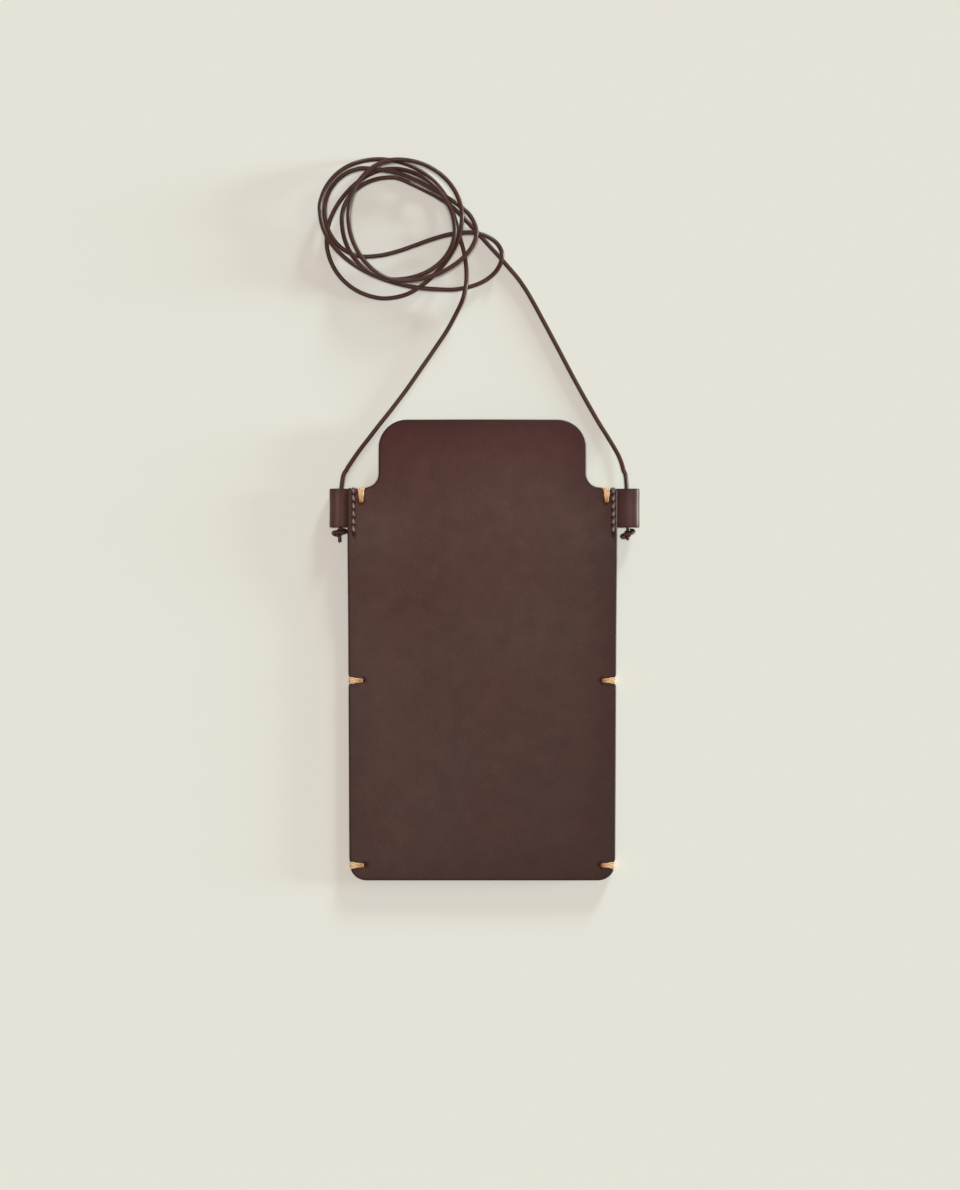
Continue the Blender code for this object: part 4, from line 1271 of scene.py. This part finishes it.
# %% [markdown]
# ## Table and light
#
# The photograph has a plain pale table under a broad light straight above, with a weaker one from
# the upper right, a faint one almost level with the table, and a dim room. Sun lamps give these
# evenly over the whole table, and the world gives the room. Waxed leather mirrors very little of
# the broad light, so most of that light comes from a lamp without glints, and a small one beside
# it draws the thin bright line along the cord. Each lamp's strength is its share of the light on
# the table, and all shares add up to 1, so that a level surface renders its colour as written.
# The faint lamp is cool and the room warm, which tints only the shadows: they have a sharp near
# part and a long pink tail, as in the photograph. Past the table's end the camera sees a pale
# wall, and so do mirrored rays, but it gives the object no light of its own.

# %% Table
TABLE_COLOR = (0.783, 0.767, 0.679)
TABLE_SIZE = 60.0
TABLE_DROP = 0.02 * MM  # just under the rear face, so that the two don't flicker

select_none()
bpy.ops.mesh.primitive_plane_add(size=TABLE_SIZE, location=(0, 0, -TABLE_DROP))
table = bpy.context.object
table.name = "table"
paint, _, shader, _ = material("Pale table")
for name, value in (("Base Color", TABLE_COLOR), ("Roughness", 0.9), ("Specular IOR Level", 0.1)):
    give(shader[name], value)
table.data.materials.append(paint)

# %% Lamps and world
WALL_LEVEL = 0.4     # how bright the wall past the table's end looks, 1 is white
LAMP_DISTANCE = 2.0  # from the table; a sun's distance changes nothing
Lamp = namedtuple("Lamp", "name share height turn disc color glints")  # angles in degrees
LAMPS = (
    Lamp(name="overhead", share=0.54, height=90, turn=0, disc=18, color=(1.0, 1.0, 1.0),
         glints=False),
    Lamp(name="overhead_glint", share=0.09, height=90, turn=0, disc=6, color=(1.0, 1.0, 1.0),
         glints=True),
    Lamp(name="upper_right", share=0.15, height=12.5, turn=68, disc=10, color=(0.8, 1.0, 1.0),
         glints=True),
    Lamp(name="low_right", share=0.11, height=6, turn=4, disc=10, color=(0.76, 1.055, 1.04),
         glints=True),
)


def sun_lamp(lamp):
    """A sun whose light on the table is its share, from a height over the horizon."""
    height, turn = math.radians(lamp.height), math.radians(lamp.turn)
    toward = Vector((math.cos(turn) * math.cos(height), math.sin(turn) * math.cos(height),
                     math.sin(height)))
    bpy.ops.object.light_add(type="SUN", location=toward * LAMP_DISTANCE)
    sun = bpy.context.object
    sun.name = lamp.name
    sun.rotation_euler = toward.to_track_quat("Z", "Y").to_euler()
    sun.data.angle = math.radians(lamp.disc)
    sun.data.energy = lamp.share * math.pi / math.sin(height)
    sun.data.color = lamp.color
    sun.visible_glossy = lamp.glints


for lamp in LAMPS:
    sun_lamp(lamp)
room_share = 1 - sum(lamp.share for lamp in LAMPS)
room_color = [(1 - sum(lamp.share * lamp.color[i] for lamp in LAMPS)) / room_share for i in range(3)]
print("room's share:", round(room_share, 2), "color:", [round(value, 3) for value in room_color])

world = bpy.data.worlds.new("Bright room")
world.use_nodes = True
bpy.context.scene.world = world
sky = world.node_tree
room = sky.nodes["Background"]
give(room.inputs["Color"], room_color)
give(room.inputs["Strength"], room_share)
wall = node(sky, "ShaderNodeBackground", {"Color": TABLE_COLOR, "Strength": WALL_LEVEL})
ray = node(sky, "ShaderNodeLightPath", {}).outputs
mirrored = maths(sky, "MAXIMUM", ray["Is Glossy Ray"], ray["Is Transmission Ray"])
seen = maths(sky, "MAXIMUM", ray["Is Camera Ray"], mirrored)
choice = node(sky, "ShaderNodeMixShader", {0: seen, 1: room.outputs[0], 2: wall.outputs[0]})
give(sky.nodes["World Output"].inputs["Surface"], choice.outputs[0])
bpy.context.scene.view_settings.view_transform = "Standard"
